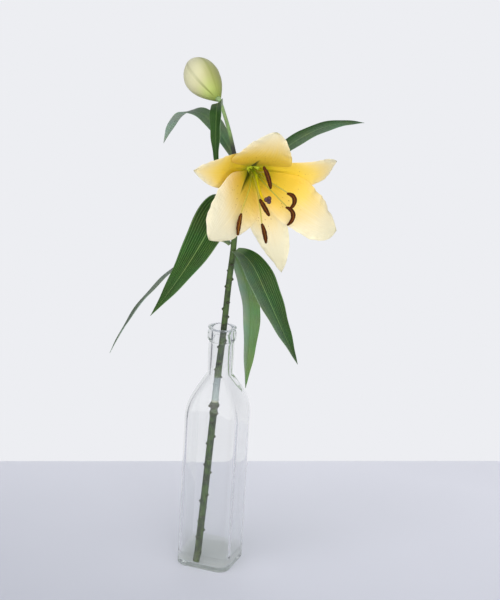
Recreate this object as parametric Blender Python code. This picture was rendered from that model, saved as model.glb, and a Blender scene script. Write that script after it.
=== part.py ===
# A cut lily stem with one open flower and one bud, standing in a little water in a square glass bottle.
# The origin is the middle of the bottle's underside, +Z is up, and the bottle's faces look along X and Y.

import math

import bmesh
import bpy
import numpy as np
from mathutils import Vector

MM = 0.001
GAP = 0.3 * MM  # clearance that pieces resting on each other keep

# Bottle: a square 500 ml oil bottle with a round neck and a banded lip
BOTTLE_HEIGHT = 268 * MM
BOTTLE_SIDE = 59.6 * MM
BOTTLE_CORNER = 12.6 * MM
HEEL = 3 * MM  # rounding between the sides and the underside
BODY_TOP = 168 * MM  # where the shoulder starts
SHOULDER_TOP = 217 * MM
NECK_RADIUS = 13.3 * MM
NECK_BULGE = 0.35 * MM
BAND_RADIUS = 15 * MM
BAND_BOTTOM = 254.3 * MM
LIP_ROUND = 1.8 * MM
BORE_RADIUS = 9.7 * MM
BODY_WALL = 3 * MM
FLOOR_EDGE = 4.2 * MM
FLOOR_DOME = 1.4 * MM  # how far the floor rises to its middle
FLOOR_FILLET = 5 * MM
RING_POINTS = 28
SHOULDER_STEPS = 8

# The bottle looks all but empty in the photo, so only its foot holds water
WATER_LEVEL = 15 * MM

# Stem: the route of its middle, from the cut foot up to the fork, with the radius at each point
STEM_ROUTE = [
    ((-6.6, -20.6, 5.7), 3.8),
    ((-3.3, -15.5, 90), 3.8),
    ((-1.2, -9.4, 166), 3.7),
    ((-0.2, -5.4, 214), 3.5),
    ((1.8, -0.8, 265), 3.3),
    ((3.1, 3.2, 314), 3.2),
    ((5.0, 6.7, 357), 3.1),
    ((4.1, 9.9, 404), 2.9),
    ((-0.4, 11.5, 448.4), 2.6),
]
BUD_SEAT = (-21.3, 7.9, 506.7)
BUD_DIRECTION = (-0.70, 0.60, 0.39)  # the bud leans back and to the left
BUD_NECK = tuple(place - 6 * share for place, share in zip(BUD_SEAT, BUD_DIRECTION))
BUD_PEDICEL = [((-0.4, 11.5, 447), 2.3), ((-8.6, 9.4, 477), 2.0), (BUD_NECK, 2.0), (BUD_SEAT, 3.2)]
STEM_SIDES = 8
STEM_STEP = 11 * MM
HOLE_CLEARANCE = 1.2 * MM  # the stem's hole in the water, wide enough for the leaf scars
SCAR_SPACING = 10.5 * MM
SCAR_LOWEST = 22 * MM
SCAR_HIGHEST = 338 * MM
SCAR_WIDTH = 2.3 * MM
SCAR_STAND = 0.55 * MM
GOLDEN_ANGLE = math.radians(137.5)

# Leaves: where each leaves the stem, then the run of its blade. Angles are in degrees: heading is the
# compass direction in plan, rise and fall the slopes at the base and the tip, bend and span the place and
# the length of the arch between them as shares of the blade, droop a steady sag, swing the turn in plan.
LEAF_THICKNESS = 0.8 * MM
LEAVES = {
    "leaf_1": dict(height=418.6, length=175.7, width=16.8, heading=52, rise=33, fall=-9, bend=0.64, span=0.87,
                   swing=9, roll=9, twist=29, widest=0.41, blunt=1.9, cup=0.18),
    "leaf_2": dict(height=449.2, length=140.8, width=21.6, heading=162, rise=50, fall=-61, bend=0.51, span=0.9,
                   swing=-16, roll=-19, twist=23, widest=0.42, blunt=1.81, cup=0.15),
    "leaf_3": dict(height=500.6, length=102.5, width=14.9, heading=-82, rise=26, fall=-65, bend=0.3, span=0.48,
                   swing=31, roll=33, twist=23, widest=0.38, blunt=1.92, cup=0.25),
    "leaf_4": dict(height=389.4, length=184.7, width=38.2, heading=-87, rise=53, fall=-43, bend=0.18, span=0.34,
                   swing=-34, roll=-11, twist=-1, widest=0.39, blunt=1.44, cup=0.25),
    "leaf_5": dict(height=356.6, length=210, width=24, heading=177, rise=62, fall=-34, bend=0.04, span=0.2,
                   droop=33, swing=2, roll=-8, twist=-14, widest=0.42, blunt=2.18, cup=-0.07),
    "leaf_6": dict(height=351.4, length=145.5, width=32.1, heading=-31, rise=31, fall=-47, bend=0.07, span=0.55,
                   swing=1, roll=15, twist=-23, widest=0.37, blunt=1.82, cup=0.24),
    "leaf_7": dict(height=346.6, length=175.2, width=23.9, heading=83, rise=-52, fall=-93, bend=0.43, span=0.56,
                   swing=-10, roll=-1, twist=6, widest=0.35, blunt=2.18, cup=0.09),
}
LEAF_BASE = 0.3  # width at the seat as a share of the greatest width
LEAF_CUP_TIP = 0.1
LEAF_GRID = (16, 4)

# Flower: its seat and the direction that it faces. Its pieces are laid out in its own frame, whose third
# axis runs out of the flower's mouth and whose second points up. set_back moves a sepal's outer part back
# from the petals that lie over it, and a point under 1 rounds a blade's tip.
FLOWER_SEAT = (31.3, -23.2, 446.2)
FLOWER_HEADING = -53
FLOWER_PITCH = -11
RECEPTACLE_RADIUS = 7.6
TEPAL_THICKNESS = 0.8 * MM
PETAL = dict(start=5.0, base=0.12, claw=1.6, point=0.75)
SEPAL = dict(start=7.3, base=0.22, cup=0.12, claw=1.25, point=0.9)
TEPALS = {
    "petal_1": dict(PETAL, length=92.4, width=59.4, heading=96.5, rise=54.3, fall=21.6, bend=0.71, span=0.69,
                    swing=-9.7, roll=-8.1, twist=-6.5, widest=0.4, blunt=1.45, cup=0.14, cup_tip=0.07),
    "petal_2": dict(PETAL, base=0.1, length=104.6, width=51.3, heading=-26.4, rise=52, fall=-0.9, bend=0.55,
                    span=0.93, swing=-6.6, roll=-14.5, twist=-38.5, widest=0.51, blunt=3.88, cup=0.17, cup_tip=-0.04),
    "petal_3": dict(PETAL, length=93.2, width=60.4, heading=-143.5, rise=54.8, fall=14.4, bend=0.66, span=0.53,
                    swing=6.5, roll=0.5, twist=-10.9, widest=0.45, blunt=2.59, cup=0.2, cup_tip=-0.13),
    "sepal_1": dict(SEPAL, length=101.4, width=25.6, heading=7.7, rise=42.4, fall=-45.4, bend=0.54, span=0.65,
                    swing=-6.9, roll=1.3, twist=-6.4, widest=0.46, blunt=2.52, cup_tip=-0.05, set_back=6.8),
    "sepal_2": dict(SEPAL, length=106.4, width=38.3, heading=-74.8, rise=42.5, fall=-1.8, bend=0.57, span=0.79,
                    swing=4.8, roll=14.1, twist=25.1, widest=0.42, blunt=2.07, cup_tip=-0.11, set_back=1.7),
    "sepal_3": dict(SEPAL, length=102.2, width=37.6, heading=161.2, rise=54.3, fall=27.2, bend=0.58, span=0.59,
                    swing=1, roll=-0.6, twist=6.7, widest=0.44, blunt=1.84, cup_tip=0.05, set_back=15.9),
}
TEPAL_GRID = (14, 6)

# Stamens: the side that each filament leaves from, then the anther's upper end in the flower's frame, the
# direction of its chord across the flower's mouth, its length and how far it curls
FILAMENT_SEAT = 3.2
FILAMENT_LIFT = 0.5
FILAMENT_RADII = (0.85, 0.6)
ANTHER_RADII = (2.3, 1.6)  # half width and half depth
STAMENS = [
    dict(side=92, top=(-6.4, 27.5, 51), chord=-67, length=26, curl=-20, held=0.27),
    dict(side=18, top=(17.9, 2.3, 60), chord=-74, length=23, curl=-150, held=0.1),
    dict(side=-34, top=(19.6, -14.1, 57), chord=-79, length=26, curl=-140, held=0.1),
    dict(side=-78, top=(-0.9, -34.5, 51), chord=-72, length=23, curl=-15, held=0.1),
    dict(side=-146, top=(-23.3, -22.5, 51), chord=-92, length=24, curl=12, held=0.1),
    dict(side=155, top=(-7.2, -6.0, 54), chord=-57, length=22, curl=0, held=0.1),
]

# Pistil, in the flower's frame: the ovary's straight length, then the style's sagging run to its head
PISTIL_ROUTE = [((0, 0, 0.3), 2.0), ((0, 0, 7), 2.3), ((0, -0.3, 13), 1.9), ((-0.5, -2.6, 20), 1.15),
                ((-0.9, -8.2, 35), 1.15), ((-0.5, -10.6, 47), 1.25), ((0.6, -7.2, 54), 1.6)]
STIGMA_RADIUS = 3.8
STIGMA_HEIGHT = 3.2

# Bud: closed, with three shallow grooves where its tepals meet
BUD_LENGTH = 69
BUD_RADIUS = 17
BUD_GROOVE = 0.035


def clear_scene():
    for obj in list(bpy.data.objects):
        bpy.data.objects.remove(obj)


def make_material(name, color, roughness, metallic=0.0, transmission=0.0, alpha=1.0):
    material = bpy.data.materials.new(name)
    material.use_nodes = True
    shader = material.node_tree.nodes["Principled BSDF"]
    shader.inputs["Base Color"].default_value = (*color, 1)
    shader.inputs["Roughness"].default_value = roughness
    shader.inputs["Metallic"].default_value = metallic
    shader.inputs["Transmission Weight"].default_value = transmission
    shader.inputs["Alpha"].default_value = alpha
    return material


def object_from_bmesh(name, bm, material=None):
    mesh = bpy.data.meshes.new(name)
    bmesh.ops.recalc_face_normals(bm, faces=bm.faces)
    bm.to_mesh(mesh)
    bm.free()
    obj = bpy.data.objects.new(name, mesh)
    bpy.context.scene.collection.objects.link(obj)
    if material:
        mesh.materials.append(material)
    mesh.shade_smooth()
    mesh.set_sharp_from_angle(angle=math.radians(40))
    return obj


def skin(name, rings, material=None):
    """One closed solid through a list of rings, with a flat cap on the first and the last."""
    bm = bmesh.new()
    loops = [[bm.verts.new(point) for point in ring] for ring in rings]
    for low, high in zip(loops, loops[1:]):
        for i in range(len(low)):
            j = (i + 1) % len(low)
            bm.faces.new((low[i], low[j], high[j], high[i]))
    bm.faces.new(loops[0][::-1])
    bm.faces.new(loops[-1])
    return object_from_bmesh(name, bm, material)


def smooth_step(x):
    x = np.clip(x, 0, 1)
    return x * x * (3 - 2 * x)


def smooth_route(points, step):
    """Points about one step apart on a smooth curve through the given (place, radius) pairs, in metres."""
    knots = np.array([(*place, radius) for place, radius in points], float) * MM
    ends = np.vstack([2 * knots[0] - knots[1], knots, 2 * knots[-1] - knots[-2]])
    out = []
    for a, b, c, d in zip(ends, ends[1:], ends[2:], ends[3:]):
        count = max(1, round(float(np.linalg.norm((c - b)[:3])) / step))
        for t in np.arange(count) / count:
            out.append(0.5 * (2 * b + (c - a) * t + (2 * a - 5 * b + 4 * c - d) * t**2 + (3 * b - a - 3 * c + d) * t**3))
    out.append(knots[-1])
    return np.array(out)


def circle_rings(route, sides, flat=1.0, extra=0.0):
    """A ring of points square to the route at each of its points. flat squeezes the ring one way."""
    centers, radii = route[:, :3], route[:, 3] + extra
    along = np.gradient(centers, axis=0)
    along /= np.linalg.norm(along, axis=1)[:, None]
    first = Vector(along[0]).orthogonal().normalized()
    rings = []
    for center, radius, direction in zip(centers, radii, along):
        direction = Vector(direction)
        first = (first - direction * first.dot(direction)).normalized()
        second = direction.cross(first)
        ring = []
        for k in range(sides):
            angle = 2 * math.pi * k / sides
            offset = first * math.cos(angle) + second * (math.sin(angle) * flat)
            ring.append(Vector(center) + offset * radius)
        rings.append(ring)
    return rings


def join_all(target, others):
    """One Boolean union of the others into the target, applied."""
    group = bpy.data.collections.new(target.name + "_joined")
    for other in others:
        group.objects.link(other)
        bpy.context.scene.collection.objects.unlink(other)
    modifier = target.modifiers.new("join", "BOOLEAN")
    modifier.operation = "UNION"
    modifier.operand_type = "COLLECTION"
    modifier.collection = group
    modifier.solver = "EXACT"
    apply_modifiers(target)
    for other in others:
        bpy.data.objects.remove(other)
    bpy.data.collections.remove(group)


def apply_modifiers(obj):
    graph = bpy.context.evaluated_depsgraph_get()
    mesh = bpy.data.meshes.new_from_object(obj.evaluated_get(graph))
    obj.modifiers.clear()
    obj.data = mesh


def square_ring(half, corner, z):
    """A ring with rounded corners; it is a circle where the corner radius equals the half width."""
    per_corner = RING_POINTS // 4
    ring = []
    for k in range(4):
        middle = math.pi / 4 + k * math.pi / 2
        cx = math.copysign(half - corner, math.cos(middle))
        cy = math.copysign(half - corner, math.sin(middle))
        for i in range(per_corner):
            angle = k * math.pi / 2 + (i + 0.5) / per_corner * math.pi / 2
            ring.append((cx + corner * math.cos(angle), cy + corner * math.sin(angle), z))
    return ring


def shoulder(low, high, z_low, z_high, corner_low):
    """(half width, corner, z) from the square body up to the round neck."""
    steps = []
    for i in range(SHOULDER_STEPS + 1):
        t = i / SHOULDER_STEPS
        half = high + (low - high) * math.cos(math.pi / 2 * t**1.2)
        share = corner_low / low
        steps.append((half, half * (share + (1 - share) * t**2), z_low + (z_high - z_low) * t))
    return steps


def quarter(radius, count):
    """Offsets (in, up) along a quarter round, from the flat end to the upright one."""
    angles = [math.pi / 2 * i / count for i in range(count + 1)]
    return [(radius * (1 - math.sin(a)), radius * (1 - math.cos(a))) for a in angles]


def inner_profile(offset=0.0):
    """The cavity's rings from the floor's middle up to the bore, drawn in by offset."""
    half = BOTTLE_SIDE / 2 - BODY_WALL - offset
    corner = BOTTLE_CORNER - BODY_WALL - offset
    floor = FLOOR_EDGE + offset
    rings = []
    for share in (0.12, 0.45, 0.75):
        dome = FLOOR_DOME * math.cos(math.pi / 2 * share)
        rings.append((half * share, corner * share, floor + dome))
    for inward, up in quarter(FLOOR_FILLET, 3):
        rings.append((half - inward, max(corner - inward, 0.5 * corner), floor + up))
    rings += shoulder(half, BORE_RADIUS - offset, BODY_TOP, SHOULDER_TOP - 1 * MM, corner)
    return rings


def make_bottle(material):
    half = BOTTLE_SIDE / 2
    outer = [(half - inward, BOTTLE_CORNER - inward, up) for inward, up in quarter(HEEL, 3)]
    outer += shoulder(half, NECK_RADIUS, BODY_TOP, SHOULDER_TOP, BOTTLE_CORNER)
    for share in (0.35, 0.65, 1.0):
        radius = NECK_RADIUS + NECK_BULGE * math.sin(math.pi * share)
        outer.append((radius, radius, SHOULDER_TOP + (BAND_BOTTOM - SHOULDER_TOP) * share))
    lip = [(BAND_RADIUS - 0.5 * MM, BAND_BOTTOM + 0.3 * MM), (BAND_RADIUS, BAND_BOTTOM + 1.2 * MM)]
    lip += [(BAND_RADIUS - i, BOTTLE_HEIGHT - LIP_ROUND + u) for u, i in quarter(LIP_ROUND, 3)[::-1]]
    lip += [(BORE_RADIUS + 2.2 * MM, BOTTLE_HEIGHT), (BORE_RADIUS + 1.1 * MM, BOTTLE_HEIGHT - 1.2 * MM)]
    lip += [(BORE_RADIUS, BOTTLE_HEIGHT - 7 * MM)]
    outer += [(radius, radius, z) for radius, z in lip]
    rings = outer + inner_profile()[::-1]
    return skin("bottle", [square_ring(*ring) for ring in rings], material)


def make_water(material, stem_route):
    profile = [ring for ring in inner_profile(GAP) if ring[2] < WATER_LEVEL]
    above = [ring for ring in inner_profile(GAP) if ring[2] >= WATER_LEVEL][0]
    below = profile[-1]
    share = (WATER_LEVEL - below[2]) / (above[2] - below[2])
    profile.append(tuple(a + (b - a) * share for a, b in zip(below, above)))
    water = skin("water", [square_ring(*ring) for ring in profile], material)
    below_floor = stem_route[0].copy()
    below_floor[2] -= 6 * MM
    run = [below_floor] + [point for point in stem_route if point[2] < WATER_LEVEL + 40 * MM]
    cutter = skin("stem_hole", circle_rings(np.array(run), 10, extra=HOLE_CLEARANCE))
    cutter.hide_render = True
    cutter.display_type = "WIRE"
    hole = water.modifiers.new("hole", "BOOLEAN")
    hole.object = cutter
    hole.solver = "EXACT"
    return water


def point_at_height(route, height):
    return np.array([np.interp(height, route[:, 2], route[:, i]) for i in range(4)])


def make_scar(route, number, height):
    """A leaf scar: a small flat wedge sunk in the stem's side."""
    x, y, z, radius = point_at_height(route, height)
    angle = number * GOLDEN_ANGLE
    bm = bmesh.new()
    bmesh.ops.create_cone(bm, cap_ends=True, segments=5, radius1=1, radius2=0.4, depth=1)
    for vertex in bm.verts:
        out, side, up = vertex.co.z + 0.5, vertex.co.y, vertex.co.x
        out = radius - 1.2 * MM + out * (1.2 * MM + SCAR_STAND)
        side *= SCAR_WIDTH
        up *= SCAR_WIDTH * 0.5
        vertex.co = (
            x + out * math.cos(angle) - side * math.sin(angle),
            y + out * math.sin(angle) + side * math.cos(angle),
            z + up,
        )
    return object_from_bmesh(f"scar_{number}", bm)


def make_stem(material, route):
    stem = skin("stem", circle_rings(route, STEM_SIDES), material)
    heights = np.arange(SCAR_LOWEST, SCAR_HIGHEST, SCAR_SPACING)
    parts = [make_scar(route, number, height) for number, height in enumerate(heights)]
    parts.append(skin("bud_pedicel", circle_rings(smooth_route(BUD_PEDICEL, STEM_STEP), STEM_SIDES)))
    facing = flower_frame()[:, 2]
    seat = np.array(FLOWER_SEAT)
    pedicel = [
        (STEM_ROUTE[-1][0], 2.4),
        (tuple(seat - facing * 20 + np.array([0, 0, 3.5])), 2.3),
        (tuple(seat - facing * 7), 3.0),
        (tuple(seat - facing * 2), RECEPTACLE_RADIUS - 1),
        (tuple(seat), RECEPTACLE_RADIUS),
    ]
    parts.append(skin("flower_pedicel", circle_rings(smooth_route(pedicel, 5 * MM), 10)))
    join_all(stem, parts)
    return stem


def blade_points(run, grid):
    """The middle surface of a leaf or tepal as a grid of points, from its seat at the origin.

    The run bends in the upright plane of its heading, in whichever frame it is drawn.
    """
    rows, columns = grid
    s = np.linspace(0, 1, rows + 1)
    arch = smooth_step((s - run["bend"]) / run["span"] + 0.5)
    pitch = np.radians(run["rise"] + (run["fall"] - run["rise"]) * arch - run.get("droop", 0) * s)
    turn = np.radians(run["heading"] + run["swing"] * s)
    along = np.stack([np.cos(pitch) * np.cos(turn), np.cos(pitch) * np.sin(turn), np.sin(pitch)], 1)
    left = np.stack([-np.sin(turn), np.cos(turn), 0 * turn], 1)
    face = np.cross(along, left)
    roll = np.radians(run["roll"] + run["twist"] * smooth_step(s))[:, None]
    across = left * np.cos(roll) + face * np.sin(roll)
    face = face * np.cos(roll) - left * np.sin(roll)
    middle = np.zeros((rows + 1, 3))
    middle[1:] = np.cumsum((along[1:] + along[:-1]) / 2, axis=0) * run["length"] * MM / rows
    middle[:, 2] -= run.get("set_back", 0) * MM * smooth_step(s / 0.4)
    heading = math.radians(run["heading"])
    middle += np.array([math.cos(heading), math.sin(heading), 0]) * run["start"] * MM
    swelling = np.sin(math.pi / 2 * np.clip(s / run["widest"], 0, 1)) ** run.get("claw", 1.0)
    taper = 1 - np.clip((s - run["widest"]) / (1 - run["widest"]), 0, 1) ** run["blunt"]
    taper **= run.get("point", 1.0)
    half = np.where(s < run["widest"], run["base"] + (1 - run["base"]) * swelling, taper)
    half = np.maximum(half * run["width"] / 2, 0.5)[:, None] * MM
    cup = (run["cup"] + (run["cup_tip"] - run["cup"]) * smooth_step((s - 0.3) / 0.4))[:, None]
    u = np.linspace(-1, 1, columns + 1)
    sideways = across[:, None] * (half * u)[:, :, None]
    raised = face[:, None] * (half * cup * u * u)[:, :, None]
    return middle[:, None] + sideways + raised


def make_blade(name, points, thickness, material):
    """A closed blade of even thickness on a grid of points."""
    rows, columns = points.shape[:2]
    bm = bmesh.new()
    verts = [[bm.verts.new(point) for point in row] for row in points]
    for i in range(rows - 1):
        for j in range(columns - 1):
            bm.faces.new((verts[i][j], verts[i][j + 1], verts[i + 1][j + 1], verts[i + 1][j]))
    bmesh.ops.triangulate(bm, faces=bm.faces)
    mesh = bpy.data.meshes.new(name)
    bm.to_mesh(mesh)
    bm.free()
    mesh.materials.append(material)
    mesh.shade_smooth()
    obj = bpy.data.objects.new(name, mesh)
    bpy.context.scene.collection.objects.link(obj)
    thicken = obj.modifiers.new("thickness", "SOLIDIFY")
    thicken.thickness = thickness
    thicken.offset = 0
    return obj


def make_leaves(material, route):
    for name, run in LEAVES.items():
        if name == "leaf_3":
            branch = smooth_route(BUD_PEDICEL, STEM_STEP)
        else:
            branch = route
        seat = point_at_height(branch, run["height"] * MM)
        start = seat[3] / MM + (GAP + LEAF_THICKNESS / 2) / MM
        run = dict(run, start=start, base=LEAF_BASE, cup_tip=LEAF_CUP_TIP)
        make_blade(name, blade_points(run, LEAF_GRID) + seat[:3], LEAF_THICKNESS, material)


def flower_frame():
    """Columns are the flower's right, its up and the way it faces."""
    heading, pitch = math.radians(FLOWER_HEADING), math.radians(FLOWER_PITCH)
    facing = np.array([math.cos(pitch) * math.cos(heading), math.cos(pitch) * math.sin(heading), math.sin(pitch)])
    up = np.array([0, 0, 1]) - facing * facing[2]
    up /= np.linalg.norm(up)
    return np.stack([np.cross(up, facing), up, facing], axis=1)


def in_flower(points):
    """Points in metres in the flower's frame, taken to the world."""
    return np.asarray(points) @ flower_frame().T + np.array(FLOWER_SEAT) * MM


def make_tepals(material):
    lift = np.array([0, 0, GAP + 0.2 * MM])
    for name, run in TEPALS.items():
        make_blade(name, in_flower(blade_points(run, TEPAL_GRID) + lift), TEPAL_THICKNESS, material)


def anther_route(stamen, count=9):
    """The anther's middle as (place, share along it), curling across the flower's mouth."""
    s = np.linspace(0, 1, count)
    turn = np.radians(stamen["chord"] + stamen["curl"] * (s - 0.5))
    step = np.stack([np.cos(turn), np.sin(turn), 0 * turn], 1)
    places = np.zeros((count, 3))
    places[1:] = np.cumsum((step[1:] + step[:-1]) / 2, axis=0) * stamen["length"] / (count - 1)
    return (places + np.array(stamen["top"])) * MM, s


def anther_radius(s):
    return ANTHER_RADII[0] * MM * (0.35 + 0.65 * np.sin(math.pi * np.clip(s, 0, 1)) ** 0.6)


def make_stamens(filament_material, anther_material):
    for number, stamen in enumerate(STAMENS, start=1):
        places, s = anther_route(stamen)
        route = np.hstack([in_flower(places), anther_radius(s)[:, None]])
        skin(f"anther_{number}", circle_rings(route, 8, flat=ANTHER_RADII[1] / ANTHER_RADII[0]), anther_material)
        held = np.array([np.interp(stamen["held"], s, places[:, i]) for i in range(3)])
        half_depth = anther_radius(np.array(stamen["held"])) * ANTHER_RADII[1] / ANTHER_RADII[0]
        back = half_depth + GAP + 0.25 * MM
        tip = held / MM - np.array([0, 0, back / MM])
        side = math.radians(stamen["side"])
        foot = np.array([math.cos(side) * FILAMENT_SEAT, math.sin(side) * FILAMENT_SEAT, FILAMENT_LIFT])
        spread = np.array([tip[0] * 0.22 + foot[0] * 0.8, tip[1] * 0.22 + foot[1] * 0.8, tip[2] * 0.4])
        thick, thin = FILAMENT_RADII
        run = smooth_route([(tuple(foot), thick), (tuple(spread), thick), (tuple(tip), thin)], 7 * MM)
        run[:, :3] = in_flower(run[:, :3])
        skin(f"filament_{number}", circle_rings(run, 6), filament_material)


def make_pistil(pistil_material, stigma_material):
    run = smooth_route(PISTIL_ROUTE, 4.5 * MM)
    direction = Vector(run[-1][:3] - run[-2][:3]).normalized()
    head = Vector(run[-1][:3]) + direction * GAP
    run[:, :3] = in_flower(run[:, :3])
    skin("pistil", circle_rings(run, 8), pistil_material)
    first = direction.orthogonal().normalized()
    second = direction.cross(first)
    rings = []
    for up, share in ((0, 0.42), (0.25, 0.85), (0.6, 1.0), (0.85, 0.85), (1.0, 0.45)):
        ring = []
        for k in range(12):
            angle = 2 * math.pi * k / 12
            radius = STIGMA_RADIUS * MM * share * (1 + 0.2 * math.cos(3 * angle)) / 1.2
            offset = first * math.cos(angle) * radius + second * math.sin(angle) * radius
            ring.append(tuple(in_flower(head + offset + direction * up * STIGMA_HEIGHT * MM)))
        rings.append(ring)
    skin("stigma", rings, stigma_material)


def make_bud(material):
    direction = Vector(BUD_DIRECTION).normalized()
    first = direction.orthogonal().normalized()
    second = direction.cross(first)
    seat = Vector(BUD_SEAT) * MM + direction * GAP
    rings = []
    for s in np.linspace(0, 1, 13):
        swell = math.sin(math.pi * s**1.25) ** 0.8 if 0 < s < 1 else 0
        radius = (BUD_RADIUS * swell + 3.0 * (1 - s)) * MM + 0.6 * MM
        ring = []
        for k in range(24):
            angle = 2 * math.pi * k / 24
            r = radius * (1 - BUD_GROOVE * (1 - math.cos(3 * angle)) * swell)
            ring.append(seat + direction * s * BUD_LENGTH * MM + first * math.cos(angle) * r + second * math.sin(angle) * r)
        rings.append(ring)
    skin("bud", rings, material)


def build():
    clear_scene()
    glass = make_material("clear_glass", (0.9, 0.94, 0.93), 0.03, transmission=1.0, alpha=0.35)
    water = make_material("still_water", (0.86, 0.92, 0.92), 0.0, transmission=1.0, alpha=0.35)
    stem_skin = make_material("stem_skin", (0.16, 0.25, 0.08), 0.45)
    leaf_skin = make_material("leaf_skin", (0.05, 0.15, 0.04), 0.4)
    tepal_skin = make_material("tepal_skin", (0.93, 0.75, 0.25), 0.5)
    filament_skin = make_material("filament_skin", (0.66, 0.66, 0.12), 0.45)
    pollen = make_material("pollen", (0.16, 0.04, 0.015), 0.85)
    style_skin = make_material("style_skin", (0.6, 0.66, 0.08), 0.4)
    stigma_skin = make_material("stigma_skin", (0.06, 0.025, 0.05), 0.35)
    bud_skin = make_material("bud_skin", (0.64, 0.7, 0.34), 0.5)
    route = smooth_route(STEM_ROUTE, STEM_STEP)
    make_bottle(glass)
    make_water(water, route)
    make_stem(stem_skin, route)
    make_leaves(leaf_skin, route)
    make_tepals(tepal_skin)
    make_stamens(filament_skin, pollen)
    make_pistil(style_skin, stigma_skin)
    make_bud(bud_skin)


build()
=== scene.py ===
import math
from functools import partial

import bpy
import numpy as np
from mathutils import Matrix, Vector


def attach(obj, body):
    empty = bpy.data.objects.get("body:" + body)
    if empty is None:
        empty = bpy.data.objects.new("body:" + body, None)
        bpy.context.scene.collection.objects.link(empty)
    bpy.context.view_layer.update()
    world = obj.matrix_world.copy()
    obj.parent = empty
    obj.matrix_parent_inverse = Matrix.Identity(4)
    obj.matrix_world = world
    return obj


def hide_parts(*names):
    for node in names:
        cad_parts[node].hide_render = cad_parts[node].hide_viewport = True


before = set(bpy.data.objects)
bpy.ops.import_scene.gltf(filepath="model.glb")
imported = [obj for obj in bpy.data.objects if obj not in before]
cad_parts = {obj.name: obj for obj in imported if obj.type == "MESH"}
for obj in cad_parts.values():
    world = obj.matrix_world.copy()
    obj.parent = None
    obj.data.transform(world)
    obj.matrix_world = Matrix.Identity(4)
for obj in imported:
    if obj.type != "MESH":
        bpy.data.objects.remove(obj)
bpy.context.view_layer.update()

mm = 0.001
goldenAngle = math.radians(137.5)


def toLinear(hexColor):
    parts = [int(hexColor[i:i + 2], 16) / 255 for i in (1, 3, 5)]
    return tuple(p / 12.92 if p <= 0.04045 else ((p + 0.055) / 1.055) ** 2.4 for p in parts) + (1.0,)


# Adds a node, with its operation or blend after its kind. Values fill its sockets in order, and a
# dictionary fills properties, or sockets by name or number. A node, a socket or a list of them is
# linked, a hex colour is made linear, and stops fill a colour ramp.
def addNode(tree, kind, *values):
    kind, _, mode = kind.partition(" ")
    if "Node" not in kind:
        kind = ("GeometryNode" if tree.type == "GEOMETRY" else "ShaderNode") + kind
    node = tree.nodes.new(kind)
    isMix = node.type == "MIX"
    if isMix:
        node.data_type = "RGBA"
    if mode:
        setattr(node, "blend_type" if isMix else "operation", mode)
    ordered = [value for value in values if not isinstance(value, dict)]
    # a colour mix has its factor, A and B in these sockets
    places = (0, 6, 7) if isMix else range(len(ordered))
    settings = dict(zip(places, ordered))
    for value in values:
        if isinstance(value, dict):
            settings.update(value)
    for key, value in settings.items():
        if key == "stops":
            ramp = node.color_ramp
            while len(ramp.elements) < len(value):
                ramp.elements.new(0.5)
            for element, (place, color) in zip(ramp.elements, value):
                element.position = place
                element.color = toLinear(color) if isinstance(color, str) else (color, color, color, 1)
        elif isinstance(key, str) and hasattr(node, key):
            setattr(node, key, value)
        else:
            for source in value if isinstance(value, list) else [value]:
                if isinstance(source, bpy.types.Node):
                    source = source.outputs[2 if source.type == "MIX" else 0]
                if isinstance(source, bpy.types.NodeSocket):
                    tree.links.new(source, node.inputs[key])
                else:
                    isColor = isinstance(source, str) and source.startswith("#")
                    node.inputs[key].default_value = toLinear(source) if isColor else source
    return node


# A new material, the function that adds its nodes, and its Object coordinates
def newMaterial(name):
    material = bpy.data.materials.new(name)
    material.use_nodes = True
    material.node_tree.nodes.clear()
    node = partial(addNode, material.node_tree)
    return material, node, node("TexCoord").outputs["Object"]


# The end of a plant's material: its skin, and the share of light that it lets through
def plantSkin(material, node, skin, share=0.0, through=None):
    shader = node("BsdfPrincipled", skin)
    if share:
        shader = node("MixShader", share, shader, node("BsdfTranslucent", through))
    node("OutputMaterial", {"Surface": shader})
    return material


# The end of a clear material: it bends light, but lets shadow rays and rays past a few bounces
# straight through
def clearSkin(material, node, skin, straight, bounces, inside):
    path = node("LightPath").outputs
    let = node("Math MAXIMUM", path["Is Shadow Ray"], node("Math GREATER_THAN", path["Ray Depth"], bounces))
    clear = node("BsdfTransparent", {"Color": straight})
    shader = node("BsdfPrincipled", {"Transmission Weight": 1.0, **skin})
    node("OutputMaterial", {"Surface": node("MixShader", let, shader, clear), **inside})
    return material


def smoothStep(x):
    x = np.clip(x, 0, 1)
    return x * x * (3 - 2 * x)


def bell(x, middle, width):
    return np.exp(-((x - middle) / width) ** 2)


# A smooth curve through (place, radius) pairs given in mm
def smoothRoute(points, step):
    knots = np.array([(*place, radius) for place, radius in points], float) * mm
    ends = np.vstack([2 * knots[0] - knots[1], knots, 2 * knots[-1] - knots[-2]])
    out = []
    for a, b, c, d in zip(ends, ends[1:], ends[2:], ends[3:]):
        count = max(1, round(float(np.linalg.norm((c - b)[:3])) / step))
        for t in np.arange(count) / count:
            out.append(0.5 * (2 * b + (c - a) * t + (2 * a - 5 * b + 4 * c - d) * t**2
                              + (3 * b - a - 3 * c + d) * t**3))
    out.append(knots[-1])
    return np.array(out)


def linkObject(name, mesh):
    piece = bpy.data.objects.new(name, mesh)
    bpy.context.scene.collection.objects.link(piece)
    return piece


def addValues(mesh, key, values):
    layer = mesh.attributes.new(key, "FLOAT", "POINT")
    layer.data.foreach_set("value", np.asarray(values, np.float32).ravel())


def makePiece(name, points, faces, material, attributes=None):
    mesh = bpy.data.meshes.new(name)
    mesh.from_pydata(np.asarray(points, float).reshape(-1, 3).tolist(), [], faces)
    for key, values in (attributes or {}).items():
        addValues(mesh, key, values)
    mesh.materials.append(material)
    mesh.shade_smooth()
    return linkObject(name, mesh)


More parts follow.
